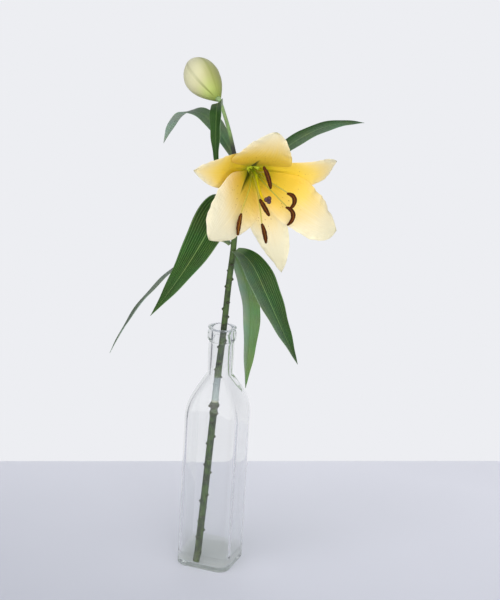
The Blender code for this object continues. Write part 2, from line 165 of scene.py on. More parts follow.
# Faces of a stack of closed rings, with each end closed by a fan round its own middle point
def ringFaces(rings, around):
    pairs = [(j, (j + 1) % around) for j in range(around)]
    faces = [(low + j, low + k, low + around + k, low + around + j)
             for low in range(0, (rings - 1) * around, around) for j, k in pairs]
    end = rings * around
    for j, k in pairs:
        faces += [(end, k, j), (end + 1, end - around + j, end - around + k)]
    return faces


def withMiddles(rings):
    return np.vstack([rings.reshape(-1, 3), rings[0].mean(axis=0), rings[-1].mean(axis=0)])


def finishPiece(piece, nodes):
    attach(piece, "root")
    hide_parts(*nodes)


# A Geometry Nodes tree with named inputs of the given kinds, the function that adds its nodes, and its inputs
def makeTree(name, kinds):
    tree = bpy.data.node_groups.new(name, "GeometryNodeTree")
    for label, kind in {"Geometry": "Geometry", "Material": "Material", **kinds}.items():
        tree.interface.new_socket(label, in_out="INPUT", socket_type="NodeSocket" + kind)
    tree.interface.new_socket("Geometry", in_out="OUTPUT", socket_type="NodeSocketGeometry")
    node = partial(addNode, tree)
    return tree, node, node("NodeGroupInput").outputs


def endTree(tree, node, given, shape):
    done = node("SetMaterial", {"Geometry": shape, "Material": given["Material"]})
    node("NodeGroupOutput", {"Geometry": done})
    return tree


# The piece with its modifiers worked in, as a plain mesh
def applyModifiers(piece, name):
    mesh = bpy.data.meshes.new_from_object(piece.evaluated_get(bpy.context.evaluated_depsgraph_get()))
    bpy.data.objects.remove(piece)
    mesh.shade_smooth()
    return linkObject(name, mesh)


def runTree(piece, tree, values, name):
    modifier = piece.modifiers.new("build", "NODES")
    modifier.node_group = tree
    for item in tree.interface.items_tree:
        if item.in_out == "INPUT" and item.name in values:
            modifier[item.identifier] = values[item.name]
    return applyModifiers(piece, name)


# View, light and floor, in metres. The view's axes are unit vectors.
view = dict(place=(0.6171, -1.6768, 0.8730), right=(0.9358, 0.3478, 0.0571), up=(-0.1576, 0.2681, 0.9504),
            forward=(-0.3152, 0.8984, -0.3057), lens=108, sensor=36, clip=(0.05, 20))
studio = dict(
    backdrop="#edeef2", leftSide="#6b6f75", rightSide="#a2a5ac", front="#fbfbfd", frontStrength=1.4,
    toBack=(-0.331, 0.944, 0.0), toRight=(0.944, 0.331, 0.0), lampTarget=(0, 0, 0.3),
    keyPlace=(-0.7, -1.5, 1.5), keySize=1.3, keyPower=12,
    fillPlace=(0.9, -1.4, 0.5), fillSize=0.95, fillPower=16,
    floor="#a9acb6", floorFarSheen="#e6e7ef", floorBack=((-0.327, 0.132), (0.227, 0.428)), floorReach=3.0,
    floorDepth=4.2, floorDrop=0.0001)


def placeView():
    data = bpy.data.cameras.new("mainView")
    data.lens, data.sensor_width = view["lens"], view["sensor"]
    data.clip_start, data.clip_end = view["clip"]
    obj = linkObject("mainView", data)
    axes = Matrix((view["right"], view["up"], [-x for x in view["forward"]])).transposed()
    obj.matrix_world = Matrix.Translation(view["place"]) @ axes.to_4x4()
    scene = bpy.context.scene
    scene.camera = obj
    scene.view_settings.view_transform = "Standard"
    scene.view_settings.look = "None"


# Soft light all round: a bright backdrop, dimmer sides that give the glass its rims, and a soft front
def lightStudio():
    world = bpy.data.worlds.new("softStudio")
    bpy.context.scene.world = world
    world.use_nodes = True
    world.node_tree.nodes.clear()
    node = partial(addNode, world.node_tree)
    bearing = node("TexCoord").outputs["Generated"]
    toBack = node("VectorMath DOT_PRODUCT", bearing, studio["toBack"]).outputs["Value"]
    turn = node("MapRange", toBack, -1.0, 1.0)
    sides = [node("ValToRGB", turn, {"stops": [
        (0.0, studio["front"]), (0.3, studio["front"]), (0.5, studio[side]), (0.74, studio[side]),
        (0.88, studio["backdrop"])]}) for side in ("leftSide", "rightSide")]
    toRight = node("VectorMath DOT_PRODUCT", bearing, studio["toRight"]).outputs["Value"]
    light = node("Mix", node("MapRange", toRight, -0.3, 0.3), *sides)
    strength = node("MapRange", turn, 0.45, 0.25, 1.0, studio["frontStrength"])
    node("OutputWorld", {"Surface": node("Background", {"Color": light, "Strength": strength})})
    for name in ("key", "fill"):
        lamp = bpy.data.lights.new(name + "Light", "AREA")
        lamp.shape = "SQUARE"
        lamp.size, lamp.energy = studio[name + "Size"], studio[name + "Power"]
        obj = linkObject(name + "Light", lamp)
        place = Vector(studio[name + "Place"])
        obj.location = place
        obj.rotation_euler = (Vector(studio["lampTarget"]) - place).to_track_quat("-Z", "Y").to_euler()
        # no lamp's shape shows on the glass
        obj.visible_glossy = obj.visible_transmission = obj.visible_camera = False


# Painted floor, matt: a flat pale grey with a faint mottle, and a painted sheen that makes it paler towards
# the back
def floorMaterial():
    material, node, place = newMaterial("paintedFloorMatt")
    mottle = node("TexNoise", {"Scale": 6.0, "Detail": 2.0, "Vector": place})
    depth = node("MapRange", node("SeparateXYZ", place).outputs["Y"], -0.35, 0.35)
    color = node("Mix", node("Math MULTIPLY_ADD", mottle, 0.08, depth), studio["floor"], studio["floorFarSheen"])
    shader = node("BsdfPrincipled", {"Base Color": color, "Roughness": 0.55, "Specular IOR Level": 0.3})
    node("OutputMaterial", {"Surface": shader})
    return material


def makeFloor(material):
    ends = [Vector(end) for end in studio["floorBack"]]
    back = (ends[1] - ends[0]).normalized() * studio["floorReach"]
    toFront = Vector((back.y, -back.x)).normalized()
    middle = toFront * toFront.dot(ends[0])
    corners = [middle - back, middle + back]
    corners += [corner + toFront * studio["floorDepth"] for corner in corners[::-1]]
    points = [(*corner, -studio["floorDrop"]) for corner in corners]
    makePiece("tableTop", points, [(0, 3, 2, 1)], material)


placeView()
lightStudio()
makeFloor(floorMaterial())
print("studio ready")

# Bottle and water, in mm
bottle = dict(height=268, side=59.6, corner=12.6, heel=3, bodyTop=168, shoulderTop=217, neckRadius=13.3,
              neckBulge=0.35, bandRadius=15, bandBottom=254.3, lipRound=1.4, boreRadius=9.7, wall=3,
              floorEdge=4.2, floorDome=1.4, floorFillet=5, perCorner=20, perFlat=11, shoulderSteps=34,
              pushUp=1.3, pushUpReach=0.86)
water = dict(level=15, overlap=0.06, climb=1.3, climbReach=1.6, stemClimb=0.8, stemCut=0.35)


# The bearings of a ring's points, crowded in the corners where the glass bends
def ringBearings():
    corner = bottle["corner"]
    flat = bottle["side"] / 2 - corner
    turns = (np.arange(bottle["perCorner"]) + 0.5) / bottle["perCorner"] * math.pi / 2
    inCorner = np.arctan2(flat + corner * np.sin(turns), flat + corner * np.cos(turns))
    onFlat = np.arctan2(np.linspace(-flat, flat, bottle["perFlat"]), bottle["side"] / 2)
    return np.concatenate([np.concatenate([onFlat, inCorner]) + k * math.pi / 2 for k in range(4)])


# A ring with rounded corners, turned into a circle as roundness goes from 0 to 1
def squareRing(half, corner, z, roundness):
    bearings = ringBearings()
    x, y = np.abs(np.cos(bearings)), np.abs(np.sin(bearings))
    flat = half - corner
    straight = half / np.maximum(x, y)
    arc = flat * (x + y) + np.sqrt(np.maximum(flat**2 * (x + y) ** 2 - 2 * flat**2 + corner**2, 0))
    reach = np.where(straight * np.minimum(x, y) <= flat, straight, arc) * (1 - roundness) + half * roundness
    return np.stack([reach * np.cos(bearings), reach * np.sin(bearings), np.full_like(x, z)], 1) * mm


def shoulderRings(low, high, zLow, zHigh, cornerLow):
    out = []
    for t in np.linspace(0, 1, bottle["shoulderSteps"] + 1):
        half = high + (low - high) * math.cos(math.pi / 2 * t**1.2)
        out.append((half, half * cornerLow / low, zLow + (zHigh - zLow) * t, t**2))
    return out


def quarterRound(radius, count):
    angles = [math.pi / 2 * i / count for i in range(count + 1)]
    return [(radius * (1 - math.sin(a)), radius * (1 - math.cos(a))) for a in angles]


# The inner side from the middle of the base up to the neck, moved out into the glass by the given reach
def innerRings(out=0.0):
    half = bottle["side"] / 2 - bottle["wall"] + out
    corner = bottle["corner"] - bottle["wall"] + out
    floor = bottle["floorEdge"] - out
    rings = [(half * share, corner * share, floor + bottle["floorDome"] * math.cos(math.pi / 2 * share), 0)
             for share in (0.03, 0.12, 0.22, 0.34, 0.46, 0.58, 0.7, 0.78)]
    rings += [(half - inward, max(corner - inward, 0.5 * corner), floor + rise, 0)
              for inward, rise in quarterRound(bottle["floorFillet"], 9)]
    rings += [(half, corner, z, 0) for z in np.linspace(20, 155, 7)]
    bore, low, high = bottle["boreRadius"] + out, bottle["bodyTop"], bottle["shoulderTop"] - 1
    return rings + shoulderRings(half, bore, low, high, corner)


# Soda-lime bottle glass, blown in a mould: clear with a faint green-blue body, its walls slightly wavy
def glassMaterial():
    material, node, place = newMaterial("sodaLimeGlassBlown")
    # the mould's waves, about 22 mm apart and drawn out upwards; the neck is calmer
    drawn = node("Mapping", {"Vector": place, "Scale": (1.0, 1.0, 0.3)})
    waves = node("TexNoise", {"Vector": drawn, "Scale": 45.0, "Detail": 1.0, "Roughness": 0.3})
    calm = node("MapRange", node("SeparateXYZ", place).outputs["Z"], 0.19, 0.22, 0.35, 0.05)
    bump = node("Bump", {"Distance": 0.0006, "Height": waves, "Strength": calm})
    # seen edge-on, as in the base and the rims, the glass is grey-green
    tint = node("VolumeAbsorption", {"Color": "#8f9d98", "Density": 12.0})
    skin = {"Base Color": "#ffffff", "Roughness": 0.015, "IOR": 1.5, "Normal": bump}
    return clearSkin(material, node, skin, "#fafbfa", 3.5, {"Volume": tint})


# Still tap water, clear: bends light but leaves no shadow of its own
def waterMaterial():
    material, node = newMaterial("stillWaterClear")[:2]
    skin = {"Base Color": "#fdfdfa", "Roughness": 0.0, "IOR": 1.333}
    return clearSkin(material, node, skin, "#fdfdfb", 2.5, {})


def makeBottle(material):
    half, corner = bottle["side"] / 2, bottle["corner"]
    neck, band, bore = bottle["neckRadius"], bottle["bandRadius"], bottle["boreRadius"]
    neckLow, low, top = bottle["shoulderTop"], bottle["bandBottom"], bottle["height"]
    # outside: the pushed-up base, the heel, the body, the shoulder and the neck
    rings = [(half * share, corner * share,
              bottle["pushUp"] * math.cos(math.pi / 2 * share / bottle["pushUpReach"]), 0)
             for share in (0.05, 0.2, 0.36, 0.52, 0.66, 0.76, 0.82)]
    rings += [(half - inward, corner - inward, rise, 0) for inward, rise in quarterRound(bottle["heel"], 10)]
    rings += [(half, corner, z, 0) for z in np.linspace(18, 150, 8)]
    rings += shoulderRings(half, neck, bottle["bodyTop"], neckLow, corner)
    profile = [(neck + bottle["neckBulge"] * math.sin(math.pi * share), neckLow + (low - neckLow) * share)
               for share in np.linspace(0.08, 1, 12)]
    # the band round the lip, the lip's rounded top and the bore
    profile += [(neck + 0.5, low + 0.02), (band - 0.7, low + 0.12), (band - 0.25, low + 0.5)]
    profile += [(band, low + rise) for rise in (1.2, 3.2, 6, 9)]
    profile += [(band - inward, top - bottle["lipRound"] + rise)
                for rise, inward in quarterRound(bottle["lipRound"], 9)[::-1]]
    profile += [(bore + wider, top - drop) for wider, drop in (
        (2.0, 0), (1.1, 0.3), (0.5, 0.9), (0.15, 1.8), (0, 3), (0, 7), (0, 16), (0, 27), (0, 38))]
    rings += [(radius, radius, z, 1) for radius, z in profile]
    stack = np.array([squareRing(*ring) for ring in rings + innerRings()[::-1]])
    piece = makePiece("vaseGlass", withMiddles(stack), ringFaces(*stack.shape[:2]), material)
    finishPiece(piece, ["bottle"])


# The water's wall reaches a hair into the glass, so that no film of air shows between them. Its top
# climbs the glass and the stem, and the stem's dent in it stays just under the stem's skin.
def makeWater(material, route):
    inner = innerRings(water["overlap"])
    profile = [ring for ring in inner if ring[2] < water["level"] - 0.5]
    table = np.array(profile + [ring for ring in inner if ring[2] > water["level"]])
    high = water["level"] + water["climb"]
    profile.append(tuple(np.interp(high, table[:, 2], table[:, i]) for i in range(4)))
    rings = [squareRing(*ring) for ring in profile]
    rim = rings[-1]
    top = pointAtHeight(route, water["level"] * mm)
    # the ring round the stem starts where the glass ring does, so that the faces between them don't twist
    turns = np.arctan2(rim[:, 1] - top[1], rim[:, 0] - top[0])

    def stemRing(height):
        place = pointAtHeight(route, height * mm)
        radius = place[3] - water["stemCut"] * mm
        return np.stack([place[0] + radius * np.cos(turns), place[1] + radius * np.sin(turns),
                         np.full_like(turns, height * mm)], 1)

    dent = stemRing(water["level"])
    for share in (0.012, 0.03, 0.055, 0.09, 0.14, 0.22, 0.34, 0.5, 0.66, 0.78, 0.86, 0.91, 0.945, 0.97,
                  0.988, 1.0):
        ring = rim * (1 - share) + dent * share
        fromGlass = np.linalg.norm((ring - rim)[:, :2], axis=1) / mm
        fromStem = np.maximum(np.linalg.norm(ring[:, :2] - top[:2], axis=1) / mm - top[3] / mm, 0)
        atGlass, atStem = np.exp(-fromGlass / water["climbReach"]), np.exp(-fromStem / water["climbReach"])
        lift = atGlass + water["stemClimb"] * atStem
        ring[:, 2] = (water["level"] + water["climb"] * np.minimum(lift, 1)) * mm
        rings.append(ring)
    rings += [stemRing(height) for height in np.linspace(water["level"] - 2, route[0][2] / mm + 2.2, 24)]
    stack = np.array(rings)
    piece = makePiece("vaseWater", withMiddles(stack), ringFaces(*stack.shape[:2]), material)
    finishPiece(piece, ["water"])


# Stem, in mm. knots are height, swell and spread; pale is the stretch where a painted reflection of the
# bottle's shoulder veils the stem in grey-blue; solidStep is the spacing along the solid's stem, by which the
# leaves are seated; scarFoot is the share of the stem's radius where a scar's colour starts, and scarBlur its
# fade upwards and outwards.
stem = dict(
    route=[((-6.6, -20.6, 5.7), 3.8), ((-3.3, -15.5, 90), 3.8), ((-1.2, -9.4, 166), 3.7),
           ((-0.2, -5.4, 214), 3.5), ((1.8, -0.8, 265), 3.3), ((3.1, 3.2, 314), 3.2),
           ((5.0, 6.7, 357), 3.1), ((4.1, 9.9, 404), 2.9), ((-0.4, 11.5, 448.4), 2.6)],
    sides=20, step=2.0, solidStep=11, scarSpacing=8.2, scarFirst=12.3, scarCount=40, scarLong=2.4,
    scarTall=1.5, scarStand=1.5, voxel=0.48, knots=((183.0, 2.0, 2.4), (174.5, 1.2, 1.8)),
    scarFoot=1.03, scarBlur=(1.3, 0.35), pale=(187.0, 214), fork=(-1.0, 11.2, 447.5), armSides=24,
    budArmStep=1.5, flowerArmStep=1)
budSeat = (-21.3, 7.9, 506.7)
budDirection = (-0.70, 0.60, 0.39)
budNeck = tuple(place - 6 * share for place, share in zip(budSeat, budDirection))
budPedicel = [((-0.4, 11.5, 447), 2.3), ((-8.6, 9.4, 477), 2.0), (budNeck, 2.0), (budSeat, 3.2)]
# each point of the flower's pedicel is its distance behind the seat, its rise and its radius
flower = dict(seat=(31.3, -23.2, 446.2), heading=-53, pitch=-11, pedicelStart=2.4,
              pedicel=((20, 3.5, 2.3), (7, 0, 3.0), (2, 0, 6.6), (0, 0, 7.6)))


def pointAtHeight(route, height):
    return np.array([np.interp(height, route[:, 2], route[:, i]) for i in range(4)])


def flowerFrame():
    heading, pitch = math.radians(flower["heading"]), math.radians(flower["pitch"])
    flat, rise = math.cos(pitch), math.sin(pitch)
    facing = np.array([flat * math.cos(heading), flat * math.sin(heading), rise])
    up = np.array([0, 0, 1]) - facing * facing[2]
    up /= np.linalg.norm(up)
    return np.stack([np.cross(up, facing), up, facing], axis=1)


def inFlower(points):
    return np.asarray(points) @ flowerFrame().T + np.array(flower["seat"]) * mm


# Routes as chains of edges whose points carry their radius
def chainObject(name, routes):
    mesh = bpy.data.meshes.new(name)
    edges, start = [], 0
    for route in routes:
        edges += [(start + i, start + i + 1) for i in range(len(route) - 1)]
        start += len(route)
    points = np.vstack(routes)
    mesh.from_pydata(points[:, :3].tolist(), edges, [])
    addValues(mesh, "thickness", points[:, 3])
    return linkObject(name, mesh)


# Tubes along routes, as thick as each point says, with the share of the way along marked on them
def tubeTree(name, kinds):
    tree, node, given = makeTree(name, {"Sides": "Int", **kinds})
    thickness = node("InputNamedAttribute", {"data_type": "FLOAT", "Name": "thickness"}).outputs["Attribute"]
    curve = node("MeshToCurve", {"Mesh": given["Geometry"]})
    marked = node("StoreNamedAttribute", {
        "data_type": "FLOAT", "domain": "POINT", "Name": "along", "Geometry": curve,
        "Value": node("SplineParameter")})
    ring = node("CurvePrimitiveCircle", {"Radius": 1.0, "Resolution": given["Sides"]})
    tube = node("CurveToMesh", {
        "Fill Caps": True, "Curve": marked, "Profile Curve": ring, "Scale": thickness})
    return tree, node, given, tube, marked, thickness


def plainTubeTree():
    tree, node, given, tube = tubeTree("tubeAlongRoute", {})[:4]
    return endTree(tree, node, given, tube)


# A tube with pads for leaf scars, each turned on from the one below
def scarredTubeTree():
    tree, node, given, tube, marked, thickness = tubeTree("stemWithScars", {
        "Scar spacing": "Float", "First scar": "Float", "Last scar": "Float", "Turn": "Float",
        "Scar size": "Vector"})
    trimmed = node("TrimCurve", {
        "mode": "LENGTH", "Curve": marked, 4: given["First scar"], 5: given["Last scar"]})
    spots = node("CurveToPoints", {"mode": "LENGTH", "Curve": trimmed, "Length": given["Scar spacing"]})
    pad = node("MeshIcoSphere", {"Radius": 1.0, "Subdivisions": 2})
    scars = node("InstanceOnPoints", {
        "Points": spots, "Instance": pad, "Rotation": spots.outputs["Rotation"]})
    angle = node("ShaderNodeMath MULTIPLY", node("InputIndex"), given["Turn"])
    about = node("ShaderNodeCombineXYZ", {2: angle})
    turned = node("RotateInstances", {"Instances": scars, "Rotation": about})
    outwards = node("ShaderNodeCombineXYZ", thickness)
    moved = node("TranslateInstances", {"Instances": turned, "Translation": outwards})
    shaped = node("ScaleInstances", {"Instances": moved, "Scale": given["Scar size"]})
    real = node("RealizeInstances", {"Geometry": shaped})
    return endTree(tree, node, given, node("JoinGeometry", {"Geometry": [real, tube]}))


# Cut lily stem, fresh: satin green skin with fine lengthwise fibres, dull purple at the fork
def stemMaterial():
    material, node, place = newMaterial("lilyStemSkinSatin")
    height = node("SeparateXYZ", place).outputs["Z"]
    green = node("ValToRGB", node("MapRange", height, 0.0, 0.52), {"stops": [
        (0.0, "#434f26"), (0.12, "#394c20"), (0.34, "#3b4f26"), (0.5, "#374a1f"), (0.62, "#435926"),
        (0.8, "#425c26"), (0.9, "#79965a"), (1.0, "#8fa774")]})
    # fibres about 0.5 mm apart run up the stem, drawn 1 mm apart so that they show
    drawn = node("Mapping", {"Vector": place, "Scale": (1.0, 1.0, 0.06)})
    fibres = node("TexNoise", {"Vector": drawn, "Scale": 1000.0, "Detail": 3.0, "Roughness": 0.6})
    skin = node("Mix OVERLAY", 0.35, green, fibres.outputs["Color"])
    # dark patches of age, mostly low down
    blotch = node("TexNoise", {"Vector": place, "Scale": 150.0, "Detail": 3.0})
    patches = node("ValToRGB", blotch, {"stops": [(0.44, 0.0), (0.56, 0.85)]})
    aged = node("Math MULTIPLY", patches, node("MapRange", height, 0.4, 0.28, 0.1, 1.0))
    scar = node("Math MULTIPLY", node("Attribute", {"attribute_name": "scar"}).outputs["Fac"], 0.9)
    # painted reflection: the bottle's shoulder veils a stretch just under the neck in pale grey-blue
    low, high = (end * mm for end in stem["pale"])
    within = node("Math MULTIPLY", node("MapRange", height, low - 0.0006, low + 0.0006),
                  node("MapRange", height, high + 0.0008, high - 0.0008))
    paintedReflection = node("ValToRGB", node("MapRange", height, low, high), {
        "stops": [(0.0, "#a6a68e"), (0.12, "#98a2a2"), (1.0, "#757f84")]})
    toFork, toFlower = (node("VectorMath DISTANCE", place, tuple(v * mm for v in spot)).outputs["Value"]
                        for spot in (stem["fork"], flower["seat"]))
    for amount, tint in (
            (aged, "#242c1a"), (scar, "#2f2f1c"), (node("Math MULTIPLY", within, 0.85), paintedReflection),
            (node("MapRange", toFork, 0.026, 0.011, 0.0, 0.92), "#2e2830"),
            (node("MapRange", toFlower, 0.014, 0.009), "#b9c428")):
        skin = node("Mix", amount, skin, tint)
    bump = node("Bump", {"Strength": 0.45, "Distance": 0.0003, "Height": fibres})
    return plantSkin(material, node, {"Base Color": skin, "Normal": bump, "Roughness": 0.42,
                                      "Specular IOR Level": 0.45, "Coat Weight": 0.08, "Coat Roughness": 0.3})


# Leaf scars sit on the stem a golden turn apart, as low pads in the skin, and two knots swell it
def makeStem(material):
    route = smoothRoute(stem["route"], stem["step"] * mm)
    facing = flowerFrame()[:, 2]
    pedicel = [(stem["route"][-1][0], flower["pedicelStart"])]
    pedicel += [(np.array(flower["seat"]) - facing * behind + np.array([0, 0, rise]), radius)
                for behind, rise, radius in flower["pedicel"]]
    swollen = route.copy()
    for height, swell, spread in stem["knots"]:
        swollen[:, 3] += swell * mm * bell(route[:, 2] / mm, height, spread)
    main = runTree(chainObject("stemRoute", [swollen]), scarredTubeTree(), {
        "Sides": stem["sides"], "Material": material, "Scar spacing": stem["scarSpacing"] * mm,
        "First scar": stem["scarFirst"] * mm, "Turn": goldenAngle,
        "Last scar": (stem["scarFirst"] + stem["scarCount"] * stem["scarSpacing"]) * mm,
        "Scar size": (stem["scarStand"] * mm, stem["scarLong"] * mm, stem["scarTall"] * mm)}, "lilyStem")
    budArm, flowerArm = (smoothRoute(budPedicel, stem["budArmStep"] * mm),
                         smoothRoute(pedicel, stem["flowerArmStep"] * mm))
    arms = runTree(chainObject("armRoutes", [budArm, flowerArm]), plainTubeTree(),
                   {"Sides": stem["armSides"], "Material": material}, "pedicels")
    # one skin over the stem, its scars and both pedicels
    with bpy.context.temp_override(active_object=main, object=main, selected_objects=[main, arms],
                                   selected_editable_objects=[main, arms]):
        bpy.ops.object.join()
    for key in [a.name for a in main.data.attributes if a.name in ("thickness", "along")]:
        main.data.attributes.remove(main.data.attributes[key])
    fuse = main.modifiers.new("fuse", "REMESH")
    fuse.mode = "VOXEL"
    fuse.voxel_size = stem["voxel"] * mm
    fuse.use_smooth_shade = True
    even = main.modifiers.new("even", "SMOOTH")
    even.factor = 0.5
    even.iterations = 3
    main = applyModifiers(main, "lilyStem")
    main.data.materials.clear()
    main.data.materials.append(material)
    # how near each point of the skin is to a scar or a knot
    places = np.empty(len(main.data.vertices) * 3)
    main.data.vertices.foreach_get("co", places)
    places = places.reshape(-1, 3)
    lengths = np.append(0, np.cumsum(np.linalg.norm(np.diff(route[:, :3], axis=0), axis=1)))
    near = np.zeros(len(places))
    for number in range(stem["scarCount"]):
        reach = (stem["scarFirst"] + number * stem["scarSpacing"]) * mm
        spot = np.array([np.interp(reach, lengths, route[:, i]) for i in range(4)])
        out = np.linalg.norm(places[:, :2] - spot[:2], axis=1) - spot[3] * stem["scarFoot"]
        near = np.maximum(near, bell(places[:, 2], spot[2], stem["scarBlur"][0] * mm)
                          * smoothStep(out / (stem["scarBlur"][1] * mm)))
    for height, swell, spread in stem["knots"]:
        near = np.maximum(near, 0.8 * bell(places[:, 2] / mm, height, spread))
    addValues(main.data, "scar", near)
    finishPiece(main, ["stem"])
    return route


# The run of a blade is the solid's, in mm and degrees: heading is the compass direction in plan, rise
# and fall the slopes at base and tip, bend and span the place and length of the arch, droop a steady
# sag, swing the turn in plan. s is the share of the way along, and u goes from -1 to 1 across.
def bladeFrame(run):
    rows = run["rows"]
    s = np.linspace(0, 1, rows + 1)
    arch = smoothStep((s - run["bend"]) / run["span"] + 0.5)
    pitch = np.radians(run["rise"] + (run["fall"] - run["rise"]) * arch - run.get("droop", 0) * s)
    turn = np.radians(run["heading"] + run["swing"] * s)
    along = np.stack([np.cos(pitch) * np.cos(turn), np.cos(pitch) * np.sin(turn), np.sin(pitch)], 1)
    left = np.stack([-np.sin(turn), np.cos(turn), 0 * turn], 1)
    face = np.cross(along, left)
    roll = np.radians(run["roll"] + run["twist"] * smoothStep(s))[:, None]
    across = left * np.cos(roll) + face * np.sin(roll)
    face = face * np.cos(roll) - left * np.sin(roll)
    middle = np.zeros((rows + 1, 3))
    middle[1:] = np.cumsum((along[1:] + along[:-1]) / 2, axis=0) * run["length"] * mm / rows
    middle[:, 2] -= run.get("setBack", 0) * mm * smoothStep(s / 0.4)
    heading = math.radians(run["heading"])
    middle += np.array([math.cos(heading), math.sin(heading), 0]) * run["start"] * mm
    swelling = np.sin(math.pi / 2 * np.clip(s / run["widest"], 0, 1)) ** run.get("claw", 1.0)
    past = np.clip((s - run["widest"]) / (1 - run["widest"]), 0, 1)
    taper = (1 - past ** run["blunt"]) ** run.get("point", 1.0)
    half = np.where(s < run["widest"], run["base"] + (1 - run["base"]) * swelling, taper)
    half = np.maximum(half * run["width"] / 2, 0.25) * mm
    cup = run["cup"] + (run["cupTip"] - run["cup"]) * smoothStep((s - 0.3) / 0.4)
    return s, np.linspace(-1, 1, run["columns"] + 1), middle, across, face, half, cup


def unit(vectors):
    return vectors / np.linalg.norm(vectors, axis=2)[:, :, None]


# A closed blade: front and back faces with their own relief, joined round the edge by a rounded rim.
# wave and relief give heights in mm from the places along and across, and tints gives each colour
# value at the two edges and the rib.
def makeBlade(name, run, wave, relief, tints, toWorld, material):
    rows, columns = run["rows"], run["columns"]
    s, u, middle, across, face, half, cup = bladeFrame(run)
    s, u = np.meshgrid(s, u, indexing="ij")
    half = half[:, None] * np.ones_like(u)
    raised = half * cup[:, None] * u**2 + wave(s, u) * mm
    points = middle[:, None] + across[:, None] * (half * u)[:, :, None] + face[:, None] * raised[:, :, None]
    points = toWorld(points)
    normals = unit(np.cross(np.gradient(points, axis=0), np.gradient(points, axis=1)))
    front, back = relief(s, u, half / mm)
    # the blade thins towards its edge and its tip
    body = run["thickness"] / 2 * (1 - 0.45 * u**6) * (1 - 0.35 * smoothStep((s - 0.85) / 0.15))
    frontPoints = points + normals * ((body + front) * mm)[:, :, None]
    backPoints = points - normals * ((body + back) * mm)[:, :, None]
    outwards = unit(np.gradient(points, axis=1)) * run["rim"] * mm
    rimRight, rimLeft = (points + outwards)[:, -1:], (points - outwards)[:, :1]
    rings = np.concatenate([frontPoints, rimRight, backPoints[:, ::-1], rimLeft], axis=1)
    around = rings.shape[1]
    edge, flat = np.ones((rows + 1, 1)), np.ones_like(u)
    acrossValues = np.concatenate([u, edge, u[:, ::-1], -edge], axis=1)
    attributes = {
        "across": acrossValues, "along": s[:, :1] * np.ones(around),
        "halfWidth": half[:, :1] / mm * np.ones(around),
        "inside": np.concatenate([flat, edge * 0.5, 0 * flat, edge * 0.5], axis=1)}
    attributes.update({key: np.interp(acrossValues, (-1, 0, 1), edges) for key, edges in tints.items()})
    faces = [(low + j, low + around + j, low + around + k, low + k) for low in range(0, rows * around, around)
             for j, k in ((j, (j + 1) % around) for j in range(around))]
    # the two ends
    for start, turn in ((0, 1), (rows * around, -1)):
        last = start + around - 1
        faces += [(start + j, start + j + 1, last - 2 - j, last - 1 - j)[::turn] for j in range(columns)]
        right = (start + columns, start + columns + 1, start + columns + 2)
        faces += [right[::turn], (last - 1, last, start)[::turn]]
    return makePiece(name, rings, faces, material, attributes)


# Leaves, in mm and degrees. bloom is a painted grey-blue sheen of light from above and fresh a lighter green,
# each at the left edge, the rib and the right edge. seatGap and solidHalf keep the solid's distance from the
# stem.
leafShape = dict(base=0.3, cupTip=0.1, thickness=0.75, rim=0.12, seatGap=0.3, solidHalf=0.4, rows=150,
                 columns=36, waveHeight=0.5, waveCount=4.3, ribDepth=0.3, ribWidth=1.3, veinCount=7.3,
                 veinDepth=0.05)
leaves = {
    "leaf_1": dict(
        height=418.6, length=175.7, width=16.8, heading=52, rise=33, fall=-9, bend=0.64, span=0.87,
        swing=9, roll=9, twist=29, widest=0.41, blunt=1.9, cup=0.18,
        bloom=(0.42, 0.28, 0.0), fresh=(0.1, 0.1, 0.0)),
    "leaf_2": dict(
        height=449.2, length=140.8, width=21.6, heading=162, rise=50, fall=-61, bend=0.51, span=0.9,
        swing=-16, roll=-19, twist=23, widest=0.42, blunt=1.81, cup=0.15,
        bloom=(0.4, 0.3, 0.35), fresh=(0.1, 0.1, 0.0)),
    "leaf_3": dict(
        height=500.6, length=102.5, width=14.9, heading=-82, rise=26, fall=-65, bend=0.3, span=0.48,
        swing=31, roll=33, twist=23, widest=0.38, blunt=1.92, cup=0.25,
        bloom=(0.0, 0.0, 0.0), fresh=(0.1, 0.0, 0.0)),
    "leaf_4": dict(
        height=389.4, length=184.7, width=38.2, heading=-87, rise=53, fall=-43, bend=0.18, span=0.34,
        swing=-34, roll=-11, twist=-1, widest=0.39, blunt=1.44, cup=0.25,
        bloom=(0.0, 0.0, 0.05), fresh=(0.1, 0.05, 0.2)),
    "leaf_5": dict(
        height=356.6, length=209.4, width=24, heading=177, rise=62, fall=-34, bend=0.04, span=0.2,
        droop=33, swing=2, roll=-8, twist=-14, widest=0.42, blunt=2.18, cup=-0.07,
        bloom=(0.3, 0.25, 0.25), fresh=(0.0, 0.0, 0.0)),
    "leaf_6": dict(
        height=351.4, length=145.5, width=32.1, heading=-31, rise=31, fall=-47, bend=0.07, span=0.55,
        swing=1, roll=15, twist=-23, widest=0.37, blunt=1.82, cup=0.24,
        bloom=(0.4, 0.08, 0.0), fresh=(0.0, 0.0, 0.1)),
    "leaf_7": dict(
        height=346.6, length=175.2, width=23.9, heading=83, rise=-52, fall=-93, bend=0.43, span=0.56,
        swing=-10, roll=-1, twist=6, widest=0.35, blunt=2.18, cup=0.09,
        bloom=(0.1, 0.0, 0.0), fresh=(1.0, 0.95, 0.35)),
}


